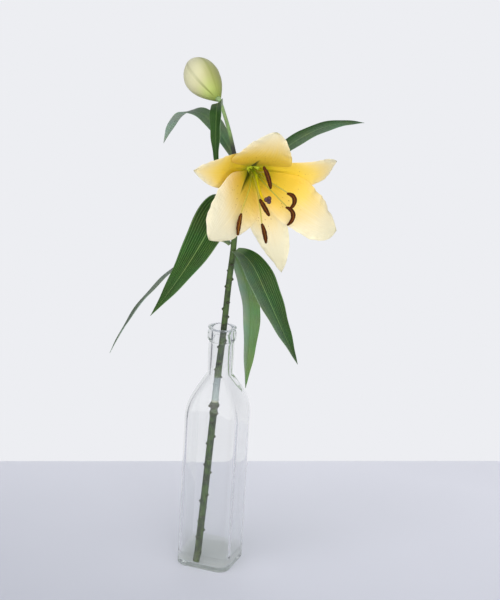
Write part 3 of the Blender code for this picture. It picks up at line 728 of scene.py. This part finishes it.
# Lily leaf, fresh: a satin dark green upper side and a paler, duller underside, both with parallel veins
def leafMaterial():
    material, node, place = newMaterial("lilyLeafFreshSatin")
    across, along, inside, bloom, fresh = (node("Attribute", {"attribute_name": key}).outputs["Fac"]
                                           for key in ("across", "along", "inside", "bloom", "fresh"))
    # the leaf's own flat picture: across, then along, drawn out so that noise runs in long streaks
    drawn = node("Mapping", {"Vector": node("CombineXYZ", across, along), "Scale": (9.0, 2.2, 1.0)})
    streaks = node("TexNoise", {"Vector": drawn, "Scale": 1.0, "Detail": 4.0, "Roughness": 0.6})
    upper = node("ValToRGB", streaks, {"stops": [(0.25, "#0e2707"), (0.5, "#17370d"), (0.78, "#294f1a")]})
    under = node("ValToRGB", streaks, {"stops": [(0.25, "#91a498"), (0.55, "#a6b5a9"), (0.8, "#b6c3b8")]})
    skin = node("Mix", inside, under, upper)
    # parallel veins: about seven paler lines on each side of the midrib
    wave = node("Math COSINE", node("Math MULTIPLY", across, 46.0))
    veins = node("ValToRGB", node("MapRange", wave, -1.0, 1.0), {"stops": [(0.84, 0.0), (0.98, 0.42)]})
    away = node("Math ABSOLUTE", across)
    rib = node("MapRange", away, 0.07, 0.01, 0.0, 0.5)
    edge = node("MapRange", away, 0.93, 1.0, 0.0, 0.35)
    seat = node("MapRange", along, 0.1, 0.0, 0.0, 0.6)
    # painted sheen: a grey-blue film of reflected light, broken up by the streaks
    sheenShare = node("Math MULTIPLY", bloom, node("MapRange", streaks, 0.3, 0.7, 0.6, 1.0))
    streaked = node("Math MULTIPLY", fresh, streaks)
    lighter = node("Math MULTIPLY_ADD", streaked, 0.5, node("Math MULTIPLY", fresh, 0.6))
    for amount, tint in ((veins, "#6d9352"), (rib, "#7e9a5c"), (edge, "#7f9a6c"), (seat, "#9db07d"),
                         (sheenShare, "#8ba38a"), (lighter, "#5c8339")):
        skin = node("Mix", amount, skin, tint)
    mottle = node("TexNoise", {"Vector": place, "Scale": 45.0, "Detail": 3.0})
    skin = node("Mix OVERLAY", 0.3, skin, mottle.outputs["Color"])
    bump = node("Bump", {"Strength": 0.35, "Distance": 0.0003, "Height": node("Math ADD", wave, streaks)})
    return plantSkin(material, node, {"Base Color": skin, "Normal": bump, "Specular IOR Level": 0.22,
                                      "Roughness": node("MapRange", inside, 0.0, 1.0, 0.5, 0.38)},
                     0.12, {"Color": "#6f9426", "Normal": bump})


def makeLeaves(material):
    step = stem["solidStep"] * mm
    for number, (name, run) in enumerate(leaves.items()):
        branch = smoothRoute(budPedicel if name == "leaf_3" else stem["route"], step)
        seat = pointAtHeight(branch, run["height"] * mm)
        run = dict(leafShape, **run)
        run["start"] = seat[3] / mm + run["seatGap"] + run["solidHalf"]
        phase = number * 2.1

        def wave(s, u):
            edge = np.abs(u) ** 2.4 * smoothStep((s - 0.12) / 0.2) * smoothStep((1 - s) / 0.15)
            turns = 2 * math.pi * run["waveCount"] * s
            return run["waveHeight"] * edge * np.sin(turns + phase + 1.3 * np.sign(u))

        def relief(s, u, half):
            fade = smoothStep((1 - s) / 0.12) * smoothStep(s / 0.05)
            rib = bell(u * half, 0, run["ribWidth"]) * fade
            veins = np.cos(2 * math.pi * u * run["veinCount"]) * run["veinDepth"]
            veins = veins * fade * (1 - np.abs(u) ** 8)
            return -run["ribDepth"] * rib - veins, run["ribDepth"] * 1.1 * rib + veins

        piece = makeBlade("blade_" + name, run, wave, relief, {key: run[key] for key in ("bloom", "fresh")},
                          lambda points: points + seat[:3], material)
        finishPiece(piece, [name])


# Tepals, in mm and degrees. ruffle, count and phase are the edge waves' height, number and place;
# furrow is the depth of the nectar furrow and green the strength of its colour; curl is how far the
# rim bends back; gold is how far the yellow runs out towards the tip at the right edge, the rib and
# the left edge. Between tepals it is partly painted shade: the shaded tepals get deeper gold.
tepalShape = dict(rows=150, columns=56, thickness=0.7, rim=0.12, lift=0.5, ribWidth=1.5, veinCount=9.5,
                  veinDepth=0.02)
petalBase = dict(tepalShape, start=5.0, base=0.17, claw=1.4)
sepalBase = dict(tepalShape, start=7.3, base=0.26, cup=0.12, claw=1.15, point=0.9)
tepals = {
    "petal_1": dict(
        petalBase, point=0.62, length=92.4, width=59.4, heading=96.5, rise=54.3, fall=21.6, bend=0.71,
        span=0.69, swing=-9.7, roll=-8.1, twist=-6.5, widest=0.4, blunt=1.45, cup=0.14, cupTip=0.07,
        ruffle=0.7, count=3.2, phase=0.4, furrow=1.0, gold=(0.3, 0.14, 0.14), curl=0.7, green=1.0),
    "petal_2": dict(
        petalBase, point=0.75, length=104.6, width=51.3, heading=-26.4, rise=52, fall=-0.9, bend=0.55,
        span=0.93, swing=-6.6, roll=-14.5, twist=-38.5, widest=0.51, blunt=3.88, cup=0.17, cupTip=-0.04,
        ruffle=1.1, count=3.6, phase=1.9, furrow=1.0, gold=(-0.04, 0.0, 0.22), curl=1.0, green=0.3),
    "petal_3": dict(
        petalBase, point=0.75, length=93.2, width=60.4, heading=-143.5, rise=54.8, fall=14.4, bend=0.66,
        span=0.53, swing=6.5, roll=0.5, twist=-10.9, widest=0.45, blunt=2.59, cup=0.2, cupTip=-0.13,
        ruffle=1.0, count=3.0, phase=3.0, furrow=1.3, gold=(-0.12, -0.07, -0.03), curl=0.8, green=1.0),
    "sepal_1": dict(
        sepalBase, length=101.4, width=25.6, heading=7.7, rise=42.4, fall=-45.4, bend=0.54, span=0.65,
        swing=-6.9, roll=1.3, twist=-6.4, widest=0.46, blunt=2.52, cupTip=-0.05, setBack=6.8,
        ruffle=0.4, count=3.0, phase=0.8, furrow=0.5, gold=(0.2, 0.12, 0.1), curl=0.3, green=0.2),
    "sepal_2": dict(
        sepalBase, length=106.4, width=38.3, heading=-74.8, rise=42.5, fall=-1.8, bend=0.57, span=0.79,
        swing=4.8, roll=14.1, twist=25.1, widest=0.42, blunt=2.07, cupTip=-0.11, setBack=1.7,
        ruffle=0.6, count=3.0, phase=2.2, furrow=0.5, gold=(-0.18, -0.2, -0.2), curl=0.5, green=0.3),
    "sepal_3": dict(
        sepalBase, length=102.2, width=37.6, heading=161.2, rise=54.3, fall=27.2, bend=0.58, span=0.59,
        swing=1, roll=-0.6, twist=6.7, widest=0.44, blunt=1.84, cupTip=0.05, setBack=15.9,
        ruffle=0.5, count=2.6, phase=4.0, furrow=0.5, gold=(0.25, 0.24, 0.16), curl=0.4, green=0.2),
}


# Lily tepal, living: waxy and thin, it lets light through. Golden in the middle, lime in the throat, cream
# towards the edge, with fine lengthwise veins, a green furrow and a few rust dashes.
def tepalMaterial():
    material, node, place = newMaterial("lilyTepalWaxy")
    across, along, inside, gold, green, halfWidth = (
        node("Attribute", {"attribute_name": key}).outputs["Fac"]
        for key in ("across", "along", "inside", "gold", "green", "halfWidth"))
    flat = node("CombineXYZ", across, along)
    drawn = node("Mapping", {"Vector": flat, "Scale": (11.0, 2.4, 1.0)})
    streaks = node("TexNoise", {"Vector": drawn, "Scale": 1.0, "Detail": 4.0, "Roughness": 0.55})
    away = node("Math ABSOLUTE", across)
    # the place in the colour run: further out at the margins, jittered by the streaks
    out = node("Math MULTIPLY_ADD", node("Math POWER", away, 2.2), 0.2, along)
    # partly painted shade: gold runs the yellow further out, more on the shaded tepals
    run = node("Math SUBTRACT", node("Math MULTIPLY_ADD", streaks, 0.12, out), gold)
    front = node("ValToRGB", run, {"stops": [
        (0.1, "#ffdc3a"), (0.27, "#ffe04a"), (0.38, "#ffdf56"), (0.52, "#ffe47e"), (0.67, "#feeab0"),
        (0.84, "#fcf2d6"), (1.0, "#fbf5e6")]})
    back = node("ValToRGB", run, {"stops": [
        (0.05, "#a9b04a"), (0.25, "#dcd98a"), (0.5, "#f3eec0"), (0.85, "#f8f4d8"), (1.0, "#eceab4")]})
    throat = node("MapRange", node("Math MULTIPLY_ADD", streaks, 0.1, along), 0.24, 0.08, 0.0, 0.9)
    skin = node("Mix", inside, back, node("Mix", throat, front, "#e0d818"))
    # lengthwise veins, a little deeper in colour
    lines = node("Math MULTIPLY_ADD", across, 60.0, node("Math MULTIPLY", streaks, 3.0))
    wave = node("Math COSINE", lines)
    skin = node("Mix MULTIPLY", node("MapRange", wave, 0.2, 1.0, 0.0, 0.035), skin, "#d9b04a")
    # a green furrow down the middle, 5 mm wide in the throat and narrowing outwards
    wedge = node("Math MULTIPLY_ADD", along, 9.0, node("Math MULTIPLY", away, halfWidth))
    reach = node("MapRange", along, 0.36, 0.24, 0.0, 0.95)
    furrow = node("Math MULTIPLY", node("MapRange", wedge, 4.2, 1.6), reach)
    # rust dashes about 1 mm wide and 2 mm long, sparse, on the inside of the middle third
    grain = node("Mapping", {"Vector": flat, "Scale": (13.0, 26.0, 1.0)})
    cells = node("TexVoronoi", {"feature": "F1", "Vector": grain, "Scale": 1.0, "Randomness": 1.0})
    chosen = node("Math GREATER_THAN", node("SeparateColor", cells.outputs["Color"]), 0.62)
    dashes = node("MapRange", cells, 0.23, 0.13)
    for part in (chosen, node("MapRange", along, 0.2, 0.27), node("MapRange", along, 0.6, 0.46),
                 node("MapRange", away, 0.62, 0.42), inside, 0.9):
        dashes = node("Math MULTIPLY", dashes, part)
    tip = node("MapRange", along, 0.975, 1.0, 0.0, 0.4)
    furrow = node("Math MULTIPLY", furrow, green)
    for amount, tint in ((furrow, "#666d0a"), (dashes, "#8a4a1c"), (tip, "#a9ab5c")):
        skin = node("Mix", amount, skin, tint)
    fine = node("TexNoise", {"Vector": place, "Scale": 900.0, "Detail": 2.0})
    grained = node("Math MULTIPLY_ADD", fine, 0.35, wave)
    veined = node("Bump", {"Strength": 0.25, "Distance": 0.0001, "Height": grained})
    # crinkles about 6 mm apart that run in from the margins
    folded = node("Mapping", {"Vector": flat, "Scale": (2.2, 16.0, 1.0), "Rotation": (0.0, 0.0, 0.35)})
    crinkles = node("TexNoise", {"Vector": folded, "Scale": 1.0, "Detail": 2.0, "Distortion": 0.6})
    height = node("Math MULTIPLY", crinkles, node("MapRange", away, 0.3, 0.85, 0.0, 1.0))
    bump = node("Bump", {"Strength": 0.6, "Distance": 0.0022, "Height": height, "Normal": veined})
    waxy = {"Base Color": skin, "Normal": bump, "Roughness": 0.48, "Specular IOR Level": 0.35,
            "Sheen Weight": 0.12, "Sheen Roughness": 0.4}
    return plantSkin(material, node, waxy, 0.6, {"Color": skin, "Normal": bump})


def makeTepals(material):
    for name, run in tepals.items():
        def wave(s, u):
            count, phase, way = run["count"], run["phase"], np.sign(u)
            ripple = np.sin(2 * math.pi * count * s + phase + 1.7 * way)
            ripple += 0.5 * np.sin(2 * math.pi * count * 2.3 * s + phase * 1.7)
            crimp = 0.3 * np.abs(u) ** 5 * np.sin(2 * math.pi * count * 4.1 * s + 2 * phase + way)
            folded = -run["curl"] * np.abs(u) ** 5 * smoothStep((s - 0.6) / 0.3)
            fade = smoothStep((s - 0.42) / 0.25) * smoothStep((1 - s) / 0.1)
            return fade * (run["ruffle"] * np.abs(u) ** 2.6 * ripple + crimp) + folded

        def relief(s, u, half):
            away = np.abs(u * half)
            throat = smoothStep(s / 0.05) * smoothStep((0.42 - s) / 0.25)
            rib = bell(away, 0, run["ribWidth"]) * smoothStep((0.97 - s) / 0.3) * smoothStep(s / 0.08)
            lips = bell(away, 2.2, 0.9) * throat * 0.35
            veins = np.cos(2 * math.pi * u * run["veinCount"]) * run["veinDepth"]
            veins = veins * smoothStep((s - 0.08) / 0.2) * (1 - np.abs(u) ** 8) * smoothStep((1 - s) / 0.1)
            front = -run["furrow"] * 0.35 * bell(away, 0, 0.9) * throat - 0.22 * rib + lips + veins
            return front, 0.35 * rib + veins

        tints = {"gold": run["gold"], "green": [run["green"]] * 3}
        piece = makeBlade("waxy_" + name, run, wave, relief, tints,
                          lambda points: inFlower(points + np.array([0, 0, run["lift"] * mm])), material)
        finishPiece(piece, [name])


# Stamens, in mm and degrees in the flower's own frame. top is the anther's near end, chord and curl its
# direction and bend, held the place along it where the filament holds it, and ochre the strength of its
# lips' colour.
stamens = [
    dict(side=92, top=(-6.4, 27.5, 51), chord=-67, length=26, curl=-20, held=0.27),
    dict(side=18, top=(17.9, 2.3, 60), chord=-74, length=23, curl=-150, held=0.1),
    dict(side=-34, top=(19.6, -14.1, 57), chord=-79, length=26, curl=-140, held=0.1),
    dict(side=-78, top=(-0.9, -34.5, 51), chord=-72, length=23, curl=-15, held=0.1),
    dict(side=-146, top=(-23.3, -22.5, 51), chord=-92, length=24, curl=12, held=0.1, ochre=0.95),
    dict(side=155, top=(-7.2, -6.0, 54), chord=-57, length=22, curl=0, held=0.1),
]
stamenShape = dict(seat=3.2, lift=0.5, thick=0.85, thin=0.6, halfWidth=2.3, halfDepth=1.6, groove=0.34,
                   slit=0.2, sacTurn=0.85, ochre=0.45, rings=60, around=32, solidRings=9, hinge=0.45,
                   step=1.5, sides=16, grainSize=0.17, grainDensity=4.2e6, seed=11)


# A moist, smooth skin coloured along its length, as on the filaments and the style
def moistMaterial(name, stops, grain, roughness, share):
    material, node, place = newMaterial(name)
    color = node("ValToRGB", node("Attribute", {"attribute_name": "along"}).outputs["Fac"], {"stops": stops})
    fine = node("TexNoise", {"Vector": place, "Scale": grain, "Detail": 2.0})
    bump = node("Bump", {"Strength": 0.15, "Distance": 0.0002, "Height": fine})
    return plantSkin(material, node, {"Base Color": color, "Normal": bump, "Roughness": roughness,
                                      "Specular IOR Level": 0.5}, share, {"Color": color})


# Filament, living: smooth, moist and pale green-yellow
def filamentMaterial():
    return moistMaterial("filamentMoistSmooth", [(0.0, "#a3ac1c"), (0.45, "#b9b23c"), (1.0, "#c4b55a")],
                         1200.0, 0.35, 0.2)


# Lily pollen, dry: loose rust-brown powder, brighter orange on the lips of the split sacs
def pollenMaterial():
    material, node, place = newMaterial("lilyPollenPowder")
    clumps = node("TexNoise", {"Vector": place, "Scale": 700.0, "Detail": 4.0, "Roughness": 0.7})
    color = node("ValToRGB", clumps, {"stops": [(0.3, "#1a0701"), (0.5, "#371102"), (0.72, "#642306")]})
    color = node("Mix", node("Attribute", {"attribute_name": "slit"}).outputs["Fac"], color, "#c98a26")
    bump = node("Bump", {"Strength": 0.8, "Distance": 0.0004, "Height": clumps})
    return plantSkin(material, node, {
        "Base Color": color, "Normal": bump, "Roughness": 0.92, "Specular IOR Level": 0.1,
        "Sheen Weight": 0.04, "Sheen Roughness": 0.6})


# An anther's middle line, bent in the flower's plane, with the share along it and its direction
def antherRoute(stamen, count):
    s = np.linspace(0, 1, count)
    turn = np.radians(stamen["chord"] + stamen["curl"] * (s - 0.5))
    step = np.stack([np.cos(turn), np.sin(turn), 0 * turn], 1)
    places = np.zeros((count, 3))
    places[1:] = np.cumsum((step[1:] + step[:-1]) / 2, axis=0) * stamen["length"] / (count - 1)
    return (places + np.array(stamen["top"])) * mm, s, step


def antherRadius(s):
    return stamenShape["halfWidth"] * mm * (0.35 + 0.65 * np.sin(math.pi * np.clip(s, 0, 1)) ** 0.6)


# Grains sit on a skin: twenty-faced specks, a fixed random spread
def grainTree():
    tree, node, given = makeTree("grainsOnSkin", {"Density": "Float", "Grain": "Float", "Seed": "Int"})
    skin, density, seed = given["Geometry"], given["Density"], given["Seed"]
    spots = node("DistributePointsOnFaces", {
        "distribute_method": "RANDOM", "Mesh": skin, "Density": density, "Seed": seed})
    grain = node("MeshIcoSphere", {"Subdivisions": 1, "Radius": given["Grain"]})
    size = node("FunctionNodeRandomValue", {2: 0.55, 3: 1.15, "Seed": seed})
    grains = node("InstanceOnPoints", {
        "Points": spots, "Instance": grain, "Rotation": spots.outputs["Rotation"],
        "Scale": size.outputs[1]})
    real = node("RealizeInstances", {"Geometry": grains})
    return endTree(tree, node, given, node("JoinGeometry", {"Geometry": [real, skin]}))


# Two sacs side by side, each split along its front: a groove between them and a narrow slit on each
def makeAnther(number, stamen, grains, pollen):
    shape = stamenShape
    front, around = math.pi / 2, shape["around"]
    angles = np.arange(around) * 2 * math.pi / around
    places, s, step = antherRoute(stamen, shape["rings"])
    groove = shape["groove"] * (bell(angles, front, 0.3) + 0.7 * bell(angles, 3 * front, 0.35))
    sacs = (front - shape["sacTurn"], front + shape["sacTurn"])
    slits, lips = (bell(angles, sacs[0], width) + bell(angles, sacs[1], width) for width in (0.13, 0.3))
    lips = np.maximum(lips - slits, 0)
    inBody = np.sin(math.pi * s) ** 0.4
    section = 1 - np.outer(inBody, groove + shape["slit"] * slits - 0.05 * lips)
    wobble = 1 + 0.04 * np.sin(np.outer(s, np.ones(around)) * 23 + angles * 2 + number)
    side = np.stack([step[:, 1], -step[:, 0], 0 * s], 1)
    reach = antherRadius(s)[:, None] * section * wobble
    rings = places[:, None] + side[:, None] * (reach * np.cos(angles))[:, :, None]
    depth = reach * np.sin(angles) * shape["halfDepth"] / shape["halfWidth"]
    rings = rings + np.array([0, 0, 1.0]) * depth[:, :, None]
    orange = np.clip(np.outer(inBody, 0.2 * lips + 0.8 * bell(angles, front, 0.13)), 0, 1)
    orange = orange * stamen.get("ochre", shape["ochre"])
    source = makePiece(f"antherSkin_{number}", withMiddles(inFlower(rings)), ringFaces(len(s), around),
                       pollen, {"slit": np.append(orange.ravel(), (0, 0))})
    piece = runTree(source, grains, {
        "Density": shape["grainDensity"], "Grain": shape["grainSize"] * mm,
        "Seed": shape["seed"] + number, "Material": pollen}, f"dustyAnther_{number}")
    finishPiece(piece, [f"anther_{number}"])


# A filament rises from the throat, spreads, and ends in a fine point where the anther hinges
def makeFilament(number, stamen, tubes, skin):
    shape = stamenShape
    coarse, share = antherRoute(stamen, shape["solidRings"])[:2]
    held = np.array([np.interp(stamen["held"], share, coarse[:, i]) for i in range(3)])
    back = antherRadius(np.array(stamen["held"])) / mm * shape["halfDepth"] / shape["halfWidth"]
    back += shape["hinge"]
    tip = held / mm - np.array([0, 0, back - 0.5])
    turn = math.radians(stamen["side"])
    foot = np.array([math.cos(turn) * shape["seat"], math.sin(turn) * shape["seat"], shape["lift"]])
    spread = np.array([tip[0] * 0.22 + foot[0] * 0.8, tip[1] * 0.22 + foot[1] * 0.8, tip[2] * 0.4])
    run = smoothRoute([(foot, shape["thick"]), (spread, shape["thick"]), (tip, shape["thin"])],
                      shape["step"] * mm)
    run[:, :3] = inFlower(run[:, :3])
    run[-3:, 3] *= (0.9, 0.75, 0.5)
    piece = runTree(chainObject(f"filamentRoute_{number}", [run]), tubes,
                    {"Sides": shape["sides"], "Material": skin}, f"moistFilament_{number}")
    finishPiece(piece, [f"filament_{number}"])


def makeStamens(filamentSkin, pollen):
    tubes, grains = plainTubeTree(), grainTree()
    for number, stamen in enumerate(stamens, start=1):
        makeAnther(number, stamen, grains, pollen)
        makeFilament(number, stamen, tubes, filamentSkin)


# Pistil, in mm in the flower's own frame. lobes are the stigma's rings: the share of its height, then
# of its radius.
pistil = dict(
    route=[((0, 0, 0.3), 2.0), ((0, 0, 7), 2.3), ((0, -0.3, 13), 1.9), ((-0.5, -2.6, 20), 1.15),
           ((-0.9, -8.2, 35), 1.15), ((-0.5, -10.6, 47), 1.25), ((0.6, -7.2, 54), 1.6)],
    sides=28, step=1.2, solidStep=4.5, headLift=0.3, stigmaRadius=4.2, stigmaHeight=3.2, around=60,
    papilla=0.13, papillaDensity=3.5e6, seed=3,
    lobes=((0, 0.4), (0.08, 0.6), (0.2, 0.82), (0.38, 0.95), (0.55, 1.0), (0.72, 0.97), (0.86, 0.86),
           (0.95, 0.7), (0.99, 0.52), (0.97, 0.34), (0.9, 0.18), (0.84, 0.06)))


# Style, living: thick, smooth and lime-yellow, green at the ovary
def styleMaterial():
    stops = [(0.0, "#8fae24"), (0.3, "#d0d41c"), (0.7, "#f7e424"), (1.0, "#eedb3c")]
    return moistMaterial("styleMoistLime", stops, 800.0, 0.32, 0.35)


# Stigma, living: sticky and dark purple, its lobes edged a little lighter
def stigmaMaterial():
    material, node, place = newMaterial("stigmaStickyPurple")
    mottle = node("TexNoise", {"Vector": place, "Scale": 900.0, "Detail": 3.0})
    color = node("ValToRGB", mottle, {"stops": [(0.3, "#22090f"), (0.55, "#40191f"), (0.8, "#653536")]})
    bump = node("Bump", {"Strength": 0.5, "Distance": 0.0002, "Height": mottle})
    return plantSkin(material, node, {"Base Color": color, "Normal": bump, "Roughness": 0.3,
                                      "Specular IOR Level": 0.5, "Coat Weight": 0.3, "Coat Roughness": 0.2})


def makePistil(styleSkin, stigmaSkin):
    coarse = smoothRoute(pistil["route"], pistil["solidStep"] * mm)
    run = smoothRoute(pistil["route"], pistil["step"] * mm)
    direction = Vector(coarse[-1][:3] - coarse[-2][:3]).normalized()
    head = np.array(Vector(coarse[-1][:3]) + direction * pistil["headLift"] * mm)
    run[:, :3] = inFlower(run[:, :3])
    piece = runTree(chainObject("styleRoute", [run]), plainTubeTree(),
                    {"Sides": pistil["sides"], "Material": styleSkin}, "limeStyle")
    finishPiece(piece, ["pistil"])
    # three swollen lobes that part along narrow clefts on the top
    first = direction.orthogonal().normalized()
    first, second, axis = (np.array(v) for v in (first, direction.cross(first), direction))
    angles = np.arange(pistil["around"]) * 2 * math.pi / pistil["around"]
    lobes = (1 + 0.13 * np.cos(3 * angles)) / 1.1 * (1 - 0.12 * bell(np.cos(3 * angles), -1, 0.35))
    rings = []
    for up, share in pistil["lobes"]:
        radius = pistil["stigmaRadius"] * mm * share * (lobes if share > 0.3 else np.ones_like(lobes))
        dip = 0.18 * bell(np.cos(3 * angles), -1, 0.5) * (up > 0.8)
        ring = head + np.outer(radius * np.cos(angles), first) + np.outer(radius * np.sin(angles), second)
        rings.append(inFlower(ring + np.outer((up - dip) * pistil["stigmaHeight"] * mm, axis)))
    source = makePiece("stigmaSkin", withMiddles(np.array(rings)), ringFaces(len(rings), len(angles)),
                       stigmaSkin)
    piece = runTree(source, grainTree(), {
        "Density": pistil["papillaDensity"], "Grain": pistil["papilla"] * mm, "Seed": pistil["seed"],
        "Material": stigmaSkin}, "stickyStigma")
    finishPiece(piece, ["stigma"])


# Bud, in mm. groove, seam and rib are shares of its radius; the side towards shadedSide gets painted shade.
bud = dict(length=69, radius=16.85, neck=3.0, skin=0.6, gap=0.3, groove=0.035, seam=0.03, rib=0.02, rings=110,
           around=144, shadedSide=(0.9, 0.35, -0.25), shadeReach=0.85)


# Lily bud, closed: satin cream-green, lime at the base, olive along the seams where its tepals meet
def budMaterial():
    material, node, place = newMaterial("lilyBudSatin")
    along, seam, rib, turn, sunless = (node("Attribute", {"attribute_name": key}).outputs["Fac"]
                                       for key in ("along", "seam", "rib", "turn", "sunless"))
    drawn = node("Mapping", {"Vector": node("CombineXYZ", turn, along), "Scale": (30.0, 2.5, 1.0)})
    streaks = node("TexNoise", {"Vector": drawn, "Scale": 1.0, "Detail": 3.0})
    skin = node("ValToRGB", node("Math MULTIPLY_ADD", streaks, 0.16, along), {"stops": [
        (0.05, "#7c9a42"), (0.2, "#bccb76"), (0.42, "#c3bf8c"), (0.75, "#dad7b2"), (1.0, "#eeebd0")]})
    # painted shade: greener and darker on the shaded side, less so at the tip; painted light: creamier on the
    # lit side above the base
    green = node("Math MULTIPLY", sunless, node("MapRange", along, 0.45, 0.9, 0.7, 0.25))
    paintedLight = node("MapRange", sunless, 0.55, 0.0, 0.0, 0.75)
    cream = node("Math MULTIPLY", paintedLight, node("MapRange", along, 0.1, 0.45))
    rib, seam = node("Math MULTIPLY", rib, 0.45), node("Math MULTIPLY", seam, 0.75)
    for amount, tint in ((rib, "#939a55"), (seam, "#6f7538"), (green, "#848b42"), (cream, "#d3d0ab")):
        skin = node("Mix", amount, skin, tint)
    fine = node("TexNoise", {"Vector": place, "Scale": 600.0, "Detail": 3.0})
    bump = node("Bump", {"Strength": 0.2, "Distance": 0.0003, "Height": fine})
    satin = {"Base Color": skin, "Normal": bump, "Roughness": 0.6, "Specular IOR Level": 0.2,
             "Sheen Weight": 0.12, "Sheen Roughness": 0.4}
    return plantSkin(material, node, satin, 0.15, {"Color": skin})


# The seams lie in the bud's three grooves, and a low rib runs down the middle of each tepal between them
def makeBud(material):
    direction = Vector(budDirection).normalized()
    first = np.array(direction.orthogonal().normalized())
    direction = np.array(direction)
    second = np.cross(direction, first)
    seat = (np.array(budSeat) + direction * bud["gap"]) * mm
    angles = np.arange(bud["around"]) * 2 * math.pi / bud["around"]
    s = np.linspace(0, 1, bud["rings"])
    swell = np.where((s > 0) & (s < 1), np.abs(np.sin(math.pi * s**1.25)) ** 0.8, 0)
    radius = (bud["radius"] * swell + bud["neck"] * (1 - s)) * mm + bud["skin"] * mm
    thirds = np.cos(3 * angles)
    seamNear, ribNear = bell(thirds, -1, 0.045), bell(thirds, 1, 0.03)
    overlap = np.where(np.sin(3 * angles) > 0, 1.0, 0.0) * bell(thirds, -1, 0.25)
    relief = np.outer(swell, bud["seam"] * seamNear - 0.02 * overlap - bud["rib"] * ribNear * 0.5) * 0.6
    section = (1 - bud["groove"] * (1 - thirds))[None] - relief
    reach = radius[:, None] * (1 + (section - 1) * swell[:, None])
    middles = seat + s[:, None, None] * direction * bud["length"] * mm
    rings = middles + first * (reach * np.cos(angles))[:, :, None]
    rings = rings + second * (reach * np.sin(angles))[:, :, None]
    fade = smoothStep(s / 0.08) * smoothStep((1.02 - s) / 0.08)
    # how far each point lies towards the side that gets painted shade
    towards = (rings - middles) @ np.array(bud["shadedSide"]) / (bud["radius"] * mm)
    attributes = {
        "along": np.append(np.repeat(s, len(angles)), (0, 1)),
        "turn": np.append(np.tile(np.abs(np.mod(angles * 3 / math.pi, 2) - 1), len(s)), (0, 0)),
        "seam": np.append(np.outer(fade, seamNear), (0, 0)),
        "rib": np.append(np.outer(fade, ribNear), (0, 0)),
        "sunless": np.append(smoothStep(bud["shadeReach"] + towards), (0, 0)),
    }
    piece = makePiece("satinBud", withMiddles(rings), ringFaces(len(s), len(angles)), material, attributes)
    finishPiece(piece, ["bud"])


route = makeStem(stemMaterial())
print("stem ready")
makeBottle(glassMaterial())
makeWater(waterMaterial(), route)
print("bottle and water ready")
makeLeaves(leafMaterial())
print("leaves ready")
makeTepals(tepalMaterial())
print("tepals ready")
makeStamens(filamentMaterial(), pollenMaterial())
makePistil(styleMaterial(), stigmaMaterial())
print("stamens and pistil ready")
makeBud(budMaterial())
print("bud ready")
